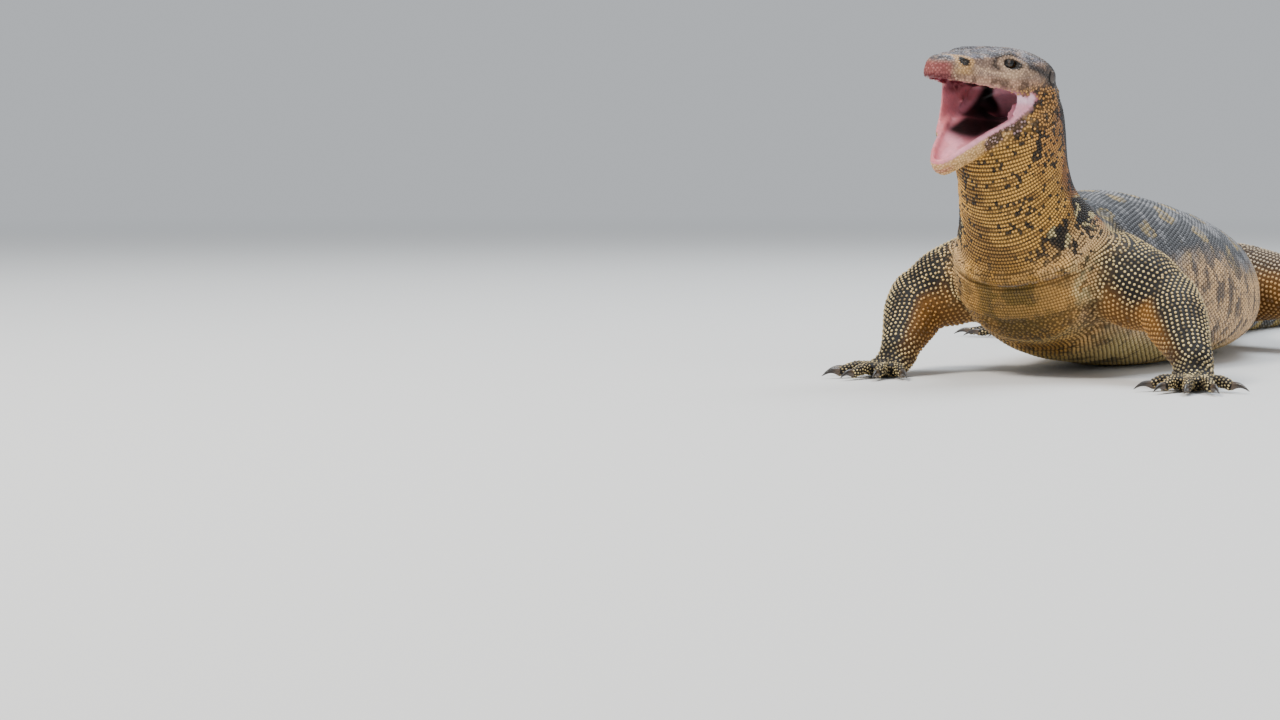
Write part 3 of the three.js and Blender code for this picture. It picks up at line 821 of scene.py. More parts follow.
# Swellings and dips of the head on its left side: where, how far they reach and how high they stand.
HEAD_FORMS = [
    ([15, -60, 16], [5, 16, 4], 1.4),
    ([22, -54, 9], [5, 9, 4], -2.2),
    ([26, -34, 4], [4, 12, 3], 1.0),
    ([34, -8, 12], [6, 12, 7], 1.6),
    ([36, 6, -8], [6, 8, 9], 2.0),
    ([28, -22, 16], [5, 7, 5], -1.2),
    ([15, -80, 16], [5, 6, 4], 1.2),
    ([0, -70, 18], [4, 22, 4], -0.9),
    ([0, -30, 23], [6, 14, 4], -0.8),
]


def model_head(points, normals):
    """The head's brow, cheeks, temples and dips, on both sides."""
    local = turned(points, TO_HEAD)
    height = np.zeros(len(points))
    for at, reach, amount in HEAD_FORMS:
        for side in (at, mirrored(at)) if at[0] else (at,):
            height += amount * np.exp(-(((local - side) / reach) ** 2).sum(1))
    return normals * height[:, None]


def fold(value, sharp):
    """A row of soft folds from a value that rises by one a fold: rounded tops with narrow grooves."""
    wave = np.abs(np.sin(np.pi * value))
    return wave ** sharp - 0.7


def over_fold(points):
    """How far points lie over the fold of skin across the throat's base."""
    cut = unit(np.array(NECK_CUT["along"], float))
    return (points - NECK_CUT["at"]) @ cut + 3 * (noise(points, 26, 3) - 0.5)


# The fold across the throat's base: its half width, the height of its lip and the depth of its crease.
THROAT_FOLD = {"wide": 58, "lip": 2.6, "crease": 3.2}
# The other folds of loose skin: how far apart they run, and how high they stand.
NECK_FOLDS = {"apart": 13, "high": 0.9}
FLANK_FOLDS = {"apart": 17, "high": 1.0}
CREASES = {"apart": 7, "high": 0.45, "knee": 26, "ankle": 14}
UNEVEN_SKIN = 0.5


def model_folds(points, normals, places, part):
    """The loose skin: the fold across the throat's base, folds of the neck, the flanks and the joints."""
    height = np.zeros(len(points))
    level = over_fold(points)
    front = ramp(-normals[:, 1], 0.05, 0.5) * ramp(THROAT_FOLD["wide"] - np.abs(points[:, 0]), 0, 14)
    height += front * THROAT_FOLD["lip"] * np.exp(-((level - 4) / 4.5) ** 2)
    height -= front * THROAT_FOLD["crease"] * np.exp(-((level + 2.5) / 2.2) ** 2)
    neck = places["neck"]
    round_neck = np.abs(neck.turn) / np.pi
    wander = 1.6 * noise(points, 34, 5)
    side_folds = fold(neck.along / NECK_FOLDS["apart"] + wander, 0.5) * ramp(round_neck, 0.25, 0.6)
    height += NECK_FOLDS["high"] * part["neck"] * side_folds * ramp(noise(points, 30, 8), 0.35, 0.7)
    trunk = places["trunk"]
    round_trunk = np.abs(trunk.turn) / np.pi
    flank = ramp(round_trunk, 0.3, 0.45) * ramp(0.85 - round_trunk, 0, 0.15)
    flank_folds = fold(trunk.along / FLANK_FOLDS["apart"] + 2.2 * noise(points, 40, 9), 0.45)
    flank_folds = flank_folds * flank * ramp(noise(points, 45, 12), 0.3, 0.65)
    height += FLANK_FOLDS["high"] * part["trunk"] * flank_folds
    for group, limb in LIMBS.items():
        creases = fold(places[group].along / CREASES["apart"] + noise(points, 20, 15), 0.5)
        for joint in ("knee", "ankle"):
            near = np.exp(-(np.linalg.norm(points - limb[joint], axis=1) / CREASES[joint]) ** 2)
            height += CREASES["high"] * part[group] * near * creases
    height += UNEVEN_SKIN * (noise(points, 16, 21) - 0.5) * (1 - part["head"] - part["jaw"])
    return normals * height[:, None]


# How many rounds of softening the fused forms get, and how far each fills creases and wears ridges. The
# head and the toes keep more of their forms, and the mouth's edge stays nearly as it is.
SOFTEN_ROUNDS = 40
HOLLOW_PULL = 0.9
RIDGE_PULL = 0.12
LAST_ROUNDS = 2
LAST_PULL = 0.5


def shape_skin(skin):
    """Softens the fused forms into a body, then models its head and its folds."""
    mesh = skin.data
    points = points_of(mesh)
    places = locate(points)
    part = shares(places)
    fine = part["head"] + part["jaw"]
    toes = ramp(14 - points[:, 2], 0, 3) * (1 - part["trunk"] - part["tail"])
    open_skin = 0.06 + 0.94 * ramp(mouth_distance(points), 1.5, 6.0)
    hollow_pull = HOLLOW_PULL * (1 - 0.93 * fine) * (1 - 0.75 * toes) * open_skin
    ridge_pull = RIDGE_PULL * (1 - 0.6 * toes) * open_skin
    soften(mesh, SOFTEN_ROUNDS, hollow_pull, ridge_pull)
    points, normals = points_of(mesh), normals_of(mesh)
    outer = ramp(mouth_distance(points), 1.0, 4.0)[:, None]
    points = points + (model_head(points, normals) + model_folds(points, normals, places, part)) * outer
    set_points(mesh, lifted(points, FLOOR_CLEAR))
    soften(mesh, LAST_ROUNDS, LAST_PULL, LAST_PULL)
    set_points(mesh, lifted(points_of(mesh), FLOOR_CLEAR))


def distances(tree, points, where, limit):
    """How far the points marked in where lie from a surface, up to a limit."""
    far = np.full(len(points), float(limit))
    for k in np.flatnonzero(where):
        distance = tree.find_nearest(Vector(points[k]), limit)[3]
        if distance is not None:
            far[k] = distance
    return far


def hollow_tree(shells):
    return tree_of(*joined(shells))


MOUTH_TREE = hollow_tree(mouth_shells())
WEB_TREE = hollow_tree(web_shells())
SMALL_TREE = hollow_tree(small_hollows())


# The two corners of a box round the head and the jaw, in the head's axes.
HEAD_BOX = ([-45, -112, -78], [45, 40, 38])
# The furthest from the mouth's lining and from the small hollows that is told apart.
MOUTH_FAR = 8
SMALL_FAR = 4
# The height in the head's axes under which the webs count as lining, on the left and the right.
WEB_TOPS = (-9, -6.5)


def near_head(points):
    local = turned(points, TO_HEAD)
    return ((local > HEAD_BOX[0]) & (local < HEAD_BOX[1])).all(1)


def mouth_distance(points):
    """How far points lie from the mouth's lining, the webs in its corners included."""
    near = near_head(points)
    lining = distances(MOUTH_TREE, points, near, MOUTH_FAR)
    web = distances(WEB_TREE, points, near & (lining > 2), MOUTH_FAR)
    x, y, z = turned(points, TO_HEAD).T
    jaw_z = turned(points, TO_JAW)[:, 2]
    under_lip = ramp(np.where(x > 0, *WEB_TOPS) - z, 0, 1.5)
    outside = MOUTH_FAR * (1 - under_lip * ramp(jaw_z, -4.5, -3) * ramp(-y, 10, 13))
    return np.minimum(lining, web + outside)


def small_distance(points):
    return distances(SMALL_TREE, points, near_head(points), SMALL_FAR)


# Colours, written as in a paint chart.
CHART = {
    "slate": "57585c", "slate_pale": "96969a", "ocellus": "b8a06a", "flank": "e6bc8a",
    "flank_grey": "5e524d", "belly": "cdb476", "belly_bar": "54411f", "throat": "e2aa50",
    "olive": "8f6418", "throat_dark": "77501f", "nape": "383234", "nape_red": "603420",
    "side_neck": "b87e44", "black": "100d0b", "brown": "2e1f17", "cream": "e6d196",
    "cream_tan": "cc9850", "chest": "6c5317", "tail": "232223", "tail_band": "b99c50",
    "crown": "605b64", "head_side": "987c6b", "lip": "c0957a", "lip_bar": "3a2720", "snout": "984e4c",
    "temple": "2a2829", "cheek": "dcb694", "tan": "c79a62", "jaw": "e6b678", "jaw_blotch": "4e2f28",
    "chin": "c0615f", "pink": "dc8c98", "pale_pink": "ea9fb0", "lilac": "b8959a", "far_wall": "d67c84",
    "maroon": "5e141f", "gullet_shade": "080404", "rim": "e6c08c", "web": "f3c3d4", "lid": "b99a7e",
    "drum": "5d5046", "claw": "2b2521", "claw_root": "5a4a3c", "pupil": "030303", "iris": "1c110b",
    "iris_gold": "4a3016", "eye_white": "140e0b",
}


def linear(code):
    """A paint-chart colour as the linear values that a shader takes."""
    value = np.array([int(code[k:k + 2], 16) / 255 for k in (0, 2, 4)])
    return np.where(value <= 0.04045, value / 12.92, ((value + 0.055) / 1.055) ** 2.4)


PAINT = {name: linear(code) for name, code in CHART.items()}


@dataclass
class Tones:
    """A colour for each point, made by laying paints over one another."""

    colour: np.ndarray

    def lay(self, paint, share):
        """Lays on a paint by its name, or a colour for each point, by a share for each point."""
        over = PAINT[paint] if isinstance(paint, str) else paint
        self.colour = self.colour + (over - self.colour) * np.clip(share, 0, 1)[:, None]
        return self


def all_over(points, paint):
    return Tones(np.tile(PAINT[paint], (len(points), 1)))


def spots(points, size, share, seed):
    """Ragged spots about size across that cover about the given share."""
    field = 0.7 * noise(points, size, seed) + 0.3 * noise(points, size * 0.4, seed + 1)
    level = 0.5 + 0.42 * (0.5 - share)
    return ramp(field, level - 0.03, level + 0.03)


# The back's eyespots: how far apart their rows are, how far apart they stand in a row, their radius, and
# the back's own radius.
EYESPOTS = {"rows": 44, "apart": 34, "radius": 9.5, "back": 72}


def eyespots(points, place):
    """Staggered rows of pale rings across the back: the rings with their middles, and the middles alone."""
    row = place.along / EYESPOTS["rows"]
    nearest = np.round(row)
    across = place.turn * EYESPOTS["back"] / EYESPOTS["apart"] + 0.5 * (nearest % 2)
    dx = (row - nearest) * EYESPOTS["rows"]
    dy = (across - np.round(across)) * EYESPOTS["apart"]
    radius = EYESPOTS["radius"]
    ragged = (noise(points, 9, 31) - 0.5) * radius * 1.6
    from_middle = np.hypot(dx, dy) + ragged
    return ramp(radius - from_middle, 0, 2.5), ramp(radius * 0.5 - from_middle, 0, 2.5)


# Each painter gives the colours of a group's scales and of the skin between them. A turn of 0 is the middle
# of the back and 1 that of the belly. Each paint is laid on by a share of 0 to 1, which says where it goes.
# The last number given to noise and to spots is their seed.
# Most painters give the skin between scales a darker copy of the scales' colour: partly the skin's own
# darker tone, partly painted shade in the gaps.


def paint_trunk(points, normals, place):
    """Slate back with rows of eyespots, pale mottled flanks, a barred belly, a golden breast."""
    turn = np.abs(place.turn) / np.pi
    tone = all_over(points, "slate").lay("slate_pale", 0.6 * spots(points, 10, 0.35, 30))
    ring, middle = eyespots(points, place)
    broken = 0.45 + 0.55 * spots(points, 8, 0.6, 33)
    tone.lay("ocellus", 0.8 * ring * (1 - 0.75 * middle) * broken)
    low = ramp(turn + 0.12 * (noise(points, 40, 32) - 0.5), 0.33, 0.46)
    flank = all_over(points, "flank").lay("flank_grey", 0.8 * spots(points * [1, 1, 0.5], 9, 0.34, 34))
    flank.lay("slate", 0.45 * spots(points, 4, 0.25, 35))
    tone.lay(flank.colour, low)
    belly = all_over(points, "belly").lay("belly_bar", 0.7 * spots(points * [0.35, 1, 1], 9, 0.2, 36))
    tone.lay(belly.colour, ramp(turn, 0.62, 0.74))
    chest = ramp(-points[:, 1], 150, 205) * ramp(-normals[:, 1], 0.1, 0.5)
    under_fold = ramp(-over_fold(points), 0, 3)
    sideways = ramp(np.abs(points[:, 0]), 10, 45)
    breast = all_over(points, "olive").lay("throat", 0.25 + 0.75 * sideways)
    breast.lay("rim", (0.1 + 0.5 * sideways) * spots(points, 9, 0.5, 37))
    chest_pale = 0.45 * sideways + 0.3 * spots(points, 12, 0.4, 41)
    # Under the throat's fold the breast darkens to olive: partly its own tone, partly painted shade of the
    # fold.
    breast.lay(all_over(points, "chest").lay("cream_tan", chest_pale).colour, under_fold)
    breast.lay("belly_bar", 0.5 * spots(points, 6, 0.25, 38))
    tone.lay(breast.colour, chest)
    beside = ramp(np.abs(points[:, 0]), 38, 48) * ramp(normals[:, 1] + 0.8, 0, 0.15)
    shoulder = ramp(-points[:, 1], 150, 190) * ramp(turn, 0.12, 0.3) * ramp(0.62 - turn, 0, 0.12) * beside
    patch = spots(points, 17, 0.5, 39)
    tone.lay("black", 0.95 * shoulder * patch)
    tone.lay("cream", 0.85 * shoulder * (1 - patch) * spots(points, 9, 0.6, 40))
    # The skin's colour: a darker copy of the scales', partly its own tone and partly painted shade between
    # scales.
    return tone.colour, tone.colour * (0.26 + 0.2 * chest * under_fold)[:, None]


# Where the neck meets the shoulders: black patches with cream spots, as centres and reaches.
NECK_PATCHES = [([46, -224, 126], 15), ([40, -250, 108], 12), ([-44, -250, 118], 14), ([30, -206, 142], 12)]


def paint_neck(points, normals, place):
    """Dark nape, reddish edge, golden throat with rows of black specks, patches at the shoulders."""
    turn = np.abs(place.turn) / np.pi
    edge = turn + 0.1 * (noise(points, 12, 50) - 0.5)
    tone = all_over(points, "nape").lay("nape_red", ramp(edge, 0.4, 0.46))
    tone.lay("side_neck", ramp(edge, 0.43, 0.48))
    tone.lay("throat", ramp(edge, 0.47, 0.58))
    streak = spots(points * [1, 1, 0.3], 5, 0.36, 56) * ramp(0.66 - turn, 0, 0.12)
    tone.lay("nape_red", 0.5 * streak)
    upper_side = ramp(place.along, 95, 120) * ramp(0.8 - turn, 0, 0.15) * ramp(edge, 0.43, 0.48)
    tone.lay("side_neck", 0.7 * upper_side)
    tone.lay("throat_dark", 0.55 * spots(points, 15, 0.36, 51))
    wrinkle = np.abs(np.sin(np.pi * (place.along / 11.0 + 1.1 * noise(points, 30, 57))))
    tone.lay("throat_dark", 0.7 * ramp(0.24 - wrinkle, 0, 0.2) * ramp(turn, 0.45, 0.6))
    crowd = 0.3 + 0.7 * ramp(0.84 - turn, 0, 0.2)
    low = ramp(66 - place.along, 0, 30) * ramp(0.86 - turn, 0, 0.2) * ramp(turn, 0.42, 0.52)
    tone.lay("rim", 0.65 * low)
    # Painted shade: the underside of the neck's low front, near the chest, darkens towards olive.
    shaded_low_front = ramp(75 - place.along, 0, 45) * ramp(turn, 0.74, 0.92)
    tone.lay("olive", 0.6 * shaded_low_front)
    field = 0.66 * noise(points * [1, 1, 0.7], 1.8, 52) + 0.34 * noise(points, 12, 53)
    tone.lay("black", 0.95 * ramp(field, 0.655 - 0.05 * crowd, 0.685 - 0.05 * crowd))
    patch = sum(np.exp(-(np.linalg.norm(points - at, axis=1) / reach) ** 2) for at, reach in NECK_PATCHES)
    patch = ramp(patch + 0.5 * (noise(points, 7, 54) - 0.5), 0.4, 0.55)
    tone.lay("black", 0.95 * patch)
    tone.lay("cream", 0.8 * patch * spots(points, 5, 0.22, 55))
    # The skin's colour: a darker copy of the scales', partly its own tone and partly painted shade between
    # scales.
    return tone.colour, tone.colour * 0.17


# The tail's pale bands: how far apart they are at its base, and how much closer with each millimetre on.
TAIL_BANDS = {"apart": 62, "closing": 0.02}


def paint_tail(points, normals, place):
    """Pale bands on black, which meet round the sides."""
    turn = np.abs(place.turn) / np.pi
    band_gap = TAIL_BANDS["apart"] - TAIL_BANDS["closing"] * place.along
    phase = place.along / band_gap + 0.22 * (noise(points, 18, 60) - 0.5)
    band = ramp(np.cos(2 * np.pi * phase), 0.35, 0.7) * ramp(turn, 0.02, 0.14)
    band *= 0.55 + 0.45 * spots(points, 8, 0.7, 61)
    tone = all_over(points, "tail").lay("slate_pale", 0.5 * spots(points, 6, 0.25, 62))
    tone.lay("tail_band", 0.9 * band)
    tone.lay("belly", 0.5 * ramp(turn, 0.8, 0.95) * ramp(300 - place.along, 0, 200))
    # The skin's colour: a darker copy of the scales', partly its own tone and partly painted shade between
    # scales.
    return tone.colour, tone.colour * 0.35


def paint_limb(points, normals, place, side, rear):
    """Round cream beads on black, warmer on the inner side of the limb and on the thigh."""
    inner = ramp(-normals[:, 0] * side - 0.5 * normals[:, 2], -0.05, 0.55)
    upper = ramp(150 - place.along, 0, 60)
    warm = 0.45 * noise(points, 25, 70) + 0.75 * inner * upper
    bead = all_over(points, "cream").lay("cream_tan", warm)
    bead.lay("side_neck", 0.25 * inner * upper)
    groove = all_over(points, "black").lay("throat_dark", 0.8 * inner * upper)
    if rear:
        top = ramp(normals[:, 2] + 0.3 * (noise(points, 14, 74) - 0.5), 0.25, 0.7)
        thigh = ramp(165 - place.along + 20 * noise(points, 16, 75), 0, 80) * (1 - 0.75 * top)
        bead.lay("slate_pale", 0.6 * top)
        bead.lay("tan", 0.8 * thigh * (1 - 0.5 * spots(points, 14, 0.3, 71)))
        groove.lay("throat_dark", 0.55 * thigh)
    bead.lay("brown", 0.75 * spots(points, 7, 0.14, 72))
    foot = ramp(34 - points[:, 2], 0, 12)
    bead.lay("brown", 0.6 * foot * spots(points, 6, 0.5, 73))
    return bead.colour, groove.colour


def paint_head(points, normals, place):
    """Slate crown over mottled brown sides, with a dark line over the eye that is partly painted shade
    under the brow, a dark stripe behind it, and painted shade in the eye's slit, in the nostrils and under
    the snout's tip.
    """
    _, y, z = turned(points, TO_HEAD).T
    facing = normals @ HEAD_PLACE[:3, 2]
    top = np.maximum(ramp(facing + 0.3 * (noise(points, 5, 85) - 0.5), 0.45, 0.85), ramp(z, 18, 22))
    tone = all_over(points, "head_side").lay("crown", top)
    tone.lay("slate_pale", 0.5 * spots(points, 6, 0.35, 88) * top)
    tone.lay("nape", 0.8 * spots(points, 5.5, 0.42, 80) * (0.35 + 0.65 * top))
    tone.lay("black", 0.5 * spots(points, 3, 0.28, 84) * top)
    tone.lay("cheek", 0.45 * spots(points, 3.4, 0.3, 83) * (1 - 0.6 * top))
    tan = np.exp(-((y + 81) / 8) ** 2 - ((z - 4) / 4) ** 2)
    tone.lay("tan", 0.9 * tan)
    lip = ramp(4 - z, 0, 5) * ramp(-y, 0, 20)
    tone.lay("lip", lip)
    bars = spots(points * [1, 1, 0.5], 3.6, 0.42, 81)
    tone.lay("lip_bar", 0.7 * lip * bars)
    ridge = np.exp(-((z - 5 + 0.17 * (y + 54)) / 1.3) ** 2) * ramp(-y, 34, 40) * ramp(74 + y, 0, 6)
    tone.lay("cheek", 0.6 * ridge)
    snout = ramp(-y + 8 * (noise(points, 5, 86) - 0.5), 87, 94) * ramp(12 - z, 0, 4)
    tone.lay("snout", 0.9 * snout)
    # Painted shade: the underside of the snout's tip is darkened to maroon.
    tone.lay("maroon", 0.75 * snout * ramp(4 - z, 0, 5))
    under_eye = np.exp(-((y + 40) / 9) ** 2 - ((z - 5.2) / 3.2) ** 2)
    tone.lay("cheek", 0.95 * under_eye)
    stripe = np.exp(-((z - 13.5 + 0.27 * (y + 31)) / (3.2 + 0.06 * (y + 31))) ** 2) * ramp(y, -34, -27)
    tone.lay("temple", 0.95 * stripe)
    behind = ramp(y, -14, 2) * ramp(z, 6, 12)
    tone.lay("temple", 0.85 * behind)
    slit_y, slit_z = EYE["at"][1] + EYE["slit_shift"][1], EYE["at"][2] + EYE["slit_shift"][2]
    from_eye = np.hypot((y - slit_y) / EYE["slit"][1], (z - slit_z) / EYE["slit"][2])
    ahead = ramp(z - slit_z - 0.5 * (y - slit_y), -1, 3)
    lid_patches = 0.4 + 0.5 * spots(points, 3.5, 0.5, 87)
    tone.lay("lid", lid_patches * ramp(2.1 - from_eye, 0, 0.3))
    # A dark arc over the upper and front edge of the lid: partly the lid's own dark edge, partly painted
    # shade under the brow.
    tone.lay("black", 0.85 * np.exp(-((from_eye - 2.35) / 0.3) ** 2) * ahead)
    # Painted shade: the skin inside the eye's slit, round the eyeball, is painted black.
    tone.lay("black", 0.9 * ramp(1.3 - from_eye, 0, 0.2))
    from_nostril = np.hypot((y - NOSTRIL["at"][1]) / 1.3, z - NOSTRIL["at"][2])
    tone.lay("tan", 0.8 * ramp(6.4 - from_nostril, 0, 1.5))
    # Painted shade: the nostril's opening is painted black.
    tone.lay("black", 0.95 * ramp(3.6 - from_nostril, 0, 0.8))
    # The skin's colour: a darker copy of the scales', partly its own tone and partly painted shade between
    # scales.
    return tone.colour, tone.colour * 0.66


def paint_jaw(points, normals, place):
    """Pale lip, golden underside with dark specks, reddish chin."""
    _, y, z = turned(points, TO_JAW).T
    tone = all_over(points, "jaw").lay("throat", ramp(-z, 12, 20))
    tone.lay("throat_dark", 0.5 * spots(points, 6, 0.3, 89) * ramp(-z, 8, 16))
    specks = spots(points, 3, 0.17, 91) * ramp(-z, 8, 14) * ramp(y, -60, -40)
    tone.lay("black", 0.9 * specks)
    tone.lay("chin", 0.85 * ramp(-y, 92, 101) * ramp(z, -14, -6))
    # The skin's colour: a darker copy of the scales', partly its own tone and partly painted shade between
    # scales.
    return tone.colour, tone.colour * 0.5


def paint_mouth(points):
    """The wet lining: pink floor, red far wall, dark palate with a pale ridge, painted shade under the
    snout's front, and the gullet and the floor's rear painted near black as shade.
    """
    x, y, z = turned(points, TO_HEAD).T
    jaw_z = turned(points, TO_JAW)[:, 2]
    floor = ramp(jaw_z, -2, -6)
    tone = all_over(points, "far_wall").lay("pink", 0.6 * spots(points * [1, 0.4, 1], 5, 0.5, 100))
    tone.lay("pale_pink", floor * (0.35 + 0.6 * spots(points, 8, 0.5, 102)))
    roof = ramp(z, -16, -8) * ramp(jaw_z, 2, 8)
    ridge = np.exp(-(x / 4) ** 2) + 0.4 * spots(points, 7, 0.3, 101)
    palate = all_over(points, "maroon").lay("pink", ridge)
    tone.lay(palate.colour, roof)
    # Dark maroon at the roof's front, inside the upper lip: partly the lining's own dark red, partly
    # painted shade under the snout.
    tone.lay("maroon", 0.9 * ramp(-y, 66, 78) * ramp(jaw_z, 4, 10))
    # Painted shade: the gullet and the rear of the floor are painted near black, as deep in the throat.
    rear = ramp(y, -30, -20)
    shaded_deep_floor = ramp(y, -54, -42) * ramp(-z, 24, 32)
    gullet_shade = np.maximum(rear * ramp(x, -27, -21), shaded_deep_floor * ramp(x, -24, -16))
    fleshy = ramp(x, -15, -11) * ramp(z, -30, -25) * ramp(y, -8, 0)
    tone.lay("gullet_shade", gullet_shade * (1 - fleshy))
    tone.lay("pale_pink", 0.9 * fleshy)
    web = ramp(np.abs(x), 25, 28) * ramp(y, -48, -38) * ramp(-z, 4, 8)
    tone.lay("web", web * ramp(x, -5, 5))
    near_lip = ramp(x, 4, 12) * ramp(-z, 14, 18) * ramp(jaw_z, -9, -6)
    return tone.lay("pale_pink", near_lip).colour


# Dark blotches on the outside of the lower lip: how far along it and how high, in the jaw's axes.
LIP_BLOTCHES = [(-41, -7.5), (-61, -9)]
LOWER_RIM = 3.4


def lower_lip(points):
    """How much each point belongs to the lower lip, and how high it stands over that lip's line."""
    _, y, z = turned(points, TO_JAW).T
    line = np.interp(-y, [-row[1] for row in JAW], [row[2] + row[4] for row in JAW])
    lower = ramp(-turned(points, TO_HEAD)[:, 2], 12, 16) * ramp(-y, 16, 24) * near_head(points)
    return lower, z - line


def wider_rim(points):
    """How much further out the bare pink rim runs at each point, as it does on the lower lip."""
    lower, height = lower_lip(points)
    return LOWER_RIM * lower * ramp(height, -2, 0)


def painted_groups(points, normals, places, part):
    """The colours that the groups' own painters give, mixed by how much each group counts."""
    painters = {
        "head": paint_head, "jaw": paint_jaw, "neck": paint_neck, "trunk": paint_trunk, "tail": paint_tail,
    }
    top, groove = np.zeros((len(points), 3)), np.zeros((len(points), 3))
    for group in GROUPS:
        some = np.flatnonzero(part[group] > 0.01)
        given = points[some], normals[some], picked(places[group], some)
        if group in painters:
            made = painters[group](*given)
        else:
            made = paint_limb(*given, LIMBS[group]["side"], group.startswith("leg"))
        share = part[group][some][:, None]
        top[some] += made[0] * share
        groove[some] += made[1] * share
    return Tones(top), Tones(groove)


def markings(points, normals, places, part, mouth_gap, small_gap):
    """The colours of the scale and of the skin round it at each point."""
    top, groove = painted_groups(points, normals, places, part)
    _, back, up = (normals @ HEAD_PLACE[:3, :3]).T
    _, head_y, head_z = turned(points, TO_HEAD).T
    _, jaw_y, jaw_z = turned(points, TO_JAW).T
    nape = ramp(back + 0.3 * up + 0.2 * (noise(points, 6, 93) - 0.5), 0.25, 0.5)
    nape = nape * ramp(head_y, 0, 10) * near_head(points)
    top.lay("temple", 0.9 * nape)
    groove.lay("black", 0.8 * nape)
    lower, lip_height = lower_lip(points)
    below_rim = lower * ramp(lip_height, -7, -4.5) * ramp(-jaw_y, 26, 42)
    top.lay("rim", 0.75 * below_rim)
    groove.lay("tan", 0.8 * below_rim)
    blotch = sum(np.exp(-((jaw_y - y) / 9) ** 2 - ((jaw_z - z) / 6) ** 2) for y, z in LIP_BLOTCHES)
    blotch = ramp(blotch + 0.6 * (noise(points, 4, 90) - 0.5), 0.4, 0.55) * near_head(points)
    network = all_over(points, "jaw_blotch").lay("lilac", 0.8 * spots(points, 1.8, 0.4, 92))
    top.lay(network.colour, 0.9 * blotch)
    groove.lay("brown", 0.9 * blotch)
    rim = ramp(4.4 - mouth_gap, 0, 2.0) * ramp(head_y, -110, -100) * (1 - lower)
    groove.lay("pink", 0.6 * rim * ramp(-head_z, 1, 6))
    inside = 1 - ramp(mouth_gap - wider_rim(points), 0.8, 2.4)
    groove.lay(paint_mouth(points), inside)
    # Painted shade: the skin in and round the nostrils, the eye slits and the ear cups is darkened to
    # black.
    groove.lay("black", 0.8 * (1 - ramp(small_gap, 0.6, 2.0)) * (1 - inside))
    return top.colour, groove.colour


@dataclass
class Seeds:
    """Where scales may stand: their roots, the skin's way out, and how close each may stand to another."""

    root: np.ndarray
    normal: np.ndarray
    tight: np.ndarray


def section(way, s):
    """A path's section at a distance along it."""
    over = way.over + way.along * way.lean[:, None]
    values = [way.centre, way.across, over, way.wide[:, None], way.high[:, None], way.low[:, None]]
    return [np.array([np.interp(s, way.distance, column) for column in value.T]) for value in values]


def ring_points(way, s, gap, offset):
    """Points evenly spaced round a path's section, alternate rows set half a step on."""
    centre, across, over, wide, high, low = section(way, s)
    flat, rise = outline(way.square, 120)
    ring = np.outer(flat * wide, across) + np.outer(rise * np.where(rise > 0, high, low), over)
    closed = np.vstack([ring, ring[:1]])
    walked = np.concatenate([[0], np.cumsum(np.linalg.norm(np.diff(closed, axis=0), axis=1))])
    count = max(int(round(walked[-1] / gap)), 6)
    at = (np.arange(count) + offset) % count * walked[-1] / count
    spots_round = np.stack([np.interp(at, walked, closed[:, k]) for k in range(3)], axis=1)
    return centre, spots_round


MOST_STRETCH = 1.8


def stretch(way, s):
    """How much closer rows stand on a path's centre where its outer side runs on faster in a bend."""
    step = 2.0
    (centre, across, over, wide, high, low), after = section(way, s), section(way, s + step)
    sides = ((across, 1, wide), (across, -1, wide), (over, 1, high), (over, -1, low))
    after_axes = (after[1], after[1], after[2], after[2])
    runs = []
    for (axis, sign, reach), axis_after in zip(sides, after_axes):
        start = centre + axis * sign * reach
        end = after[0] + axis_after * sign * reach
        runs.append(float(np.linalg.norm(end - start)) / step)
    return math.sqrt(min(max(*runs, 1.0), MOST_STRETCH))


def cast(tree, centre, ring):
    """Where rays from a section's centre meet the skin near the section's own surface."""
    found = []
    for spoke in ring:
        length = float(np.linalg.norm(spoke))
        slack = SLACK_SHARE * length + SLACK
        hit, normal, _, distance = tree.ray_cast(Vector(centre), Vector(spoke / length), length + slack)
        if hit is not None and distance > length - slack:
            found.append((hit[:], normal[:]))
    return found


def row_seeds(tree):
    """Seeds in rows across every path but those of the head and the jaw."""
    found = []
    for group in [name for name in GROUPS if name not in ("head", "jaw")]:
        tip = TAIL_TIP_SHARE if group == "tail" else 1
        for k, way in enumerate(PATHS[group]):
            sizes = SCALES[group] if k < 3 else TOE_SCALE
            first, last = way.distance[0], way.distance[-1]
            s, row = first, 0
            while s < last:
                shrink = 1 - (1 - tip) * (s - first) / (last - first)
                found += cast(tree, *ring_points(way, s, sizes["across"] * shrink, 0.5 * (row % 2)))
                s += sizes["row"] * shrink / stretch(way, s)
                row += 1
    roots, normals = (np.array(values) for values in zip(*found))
    return Seeds(roots, normals, np.full(len(roots), CLOSENESS["rows"]))


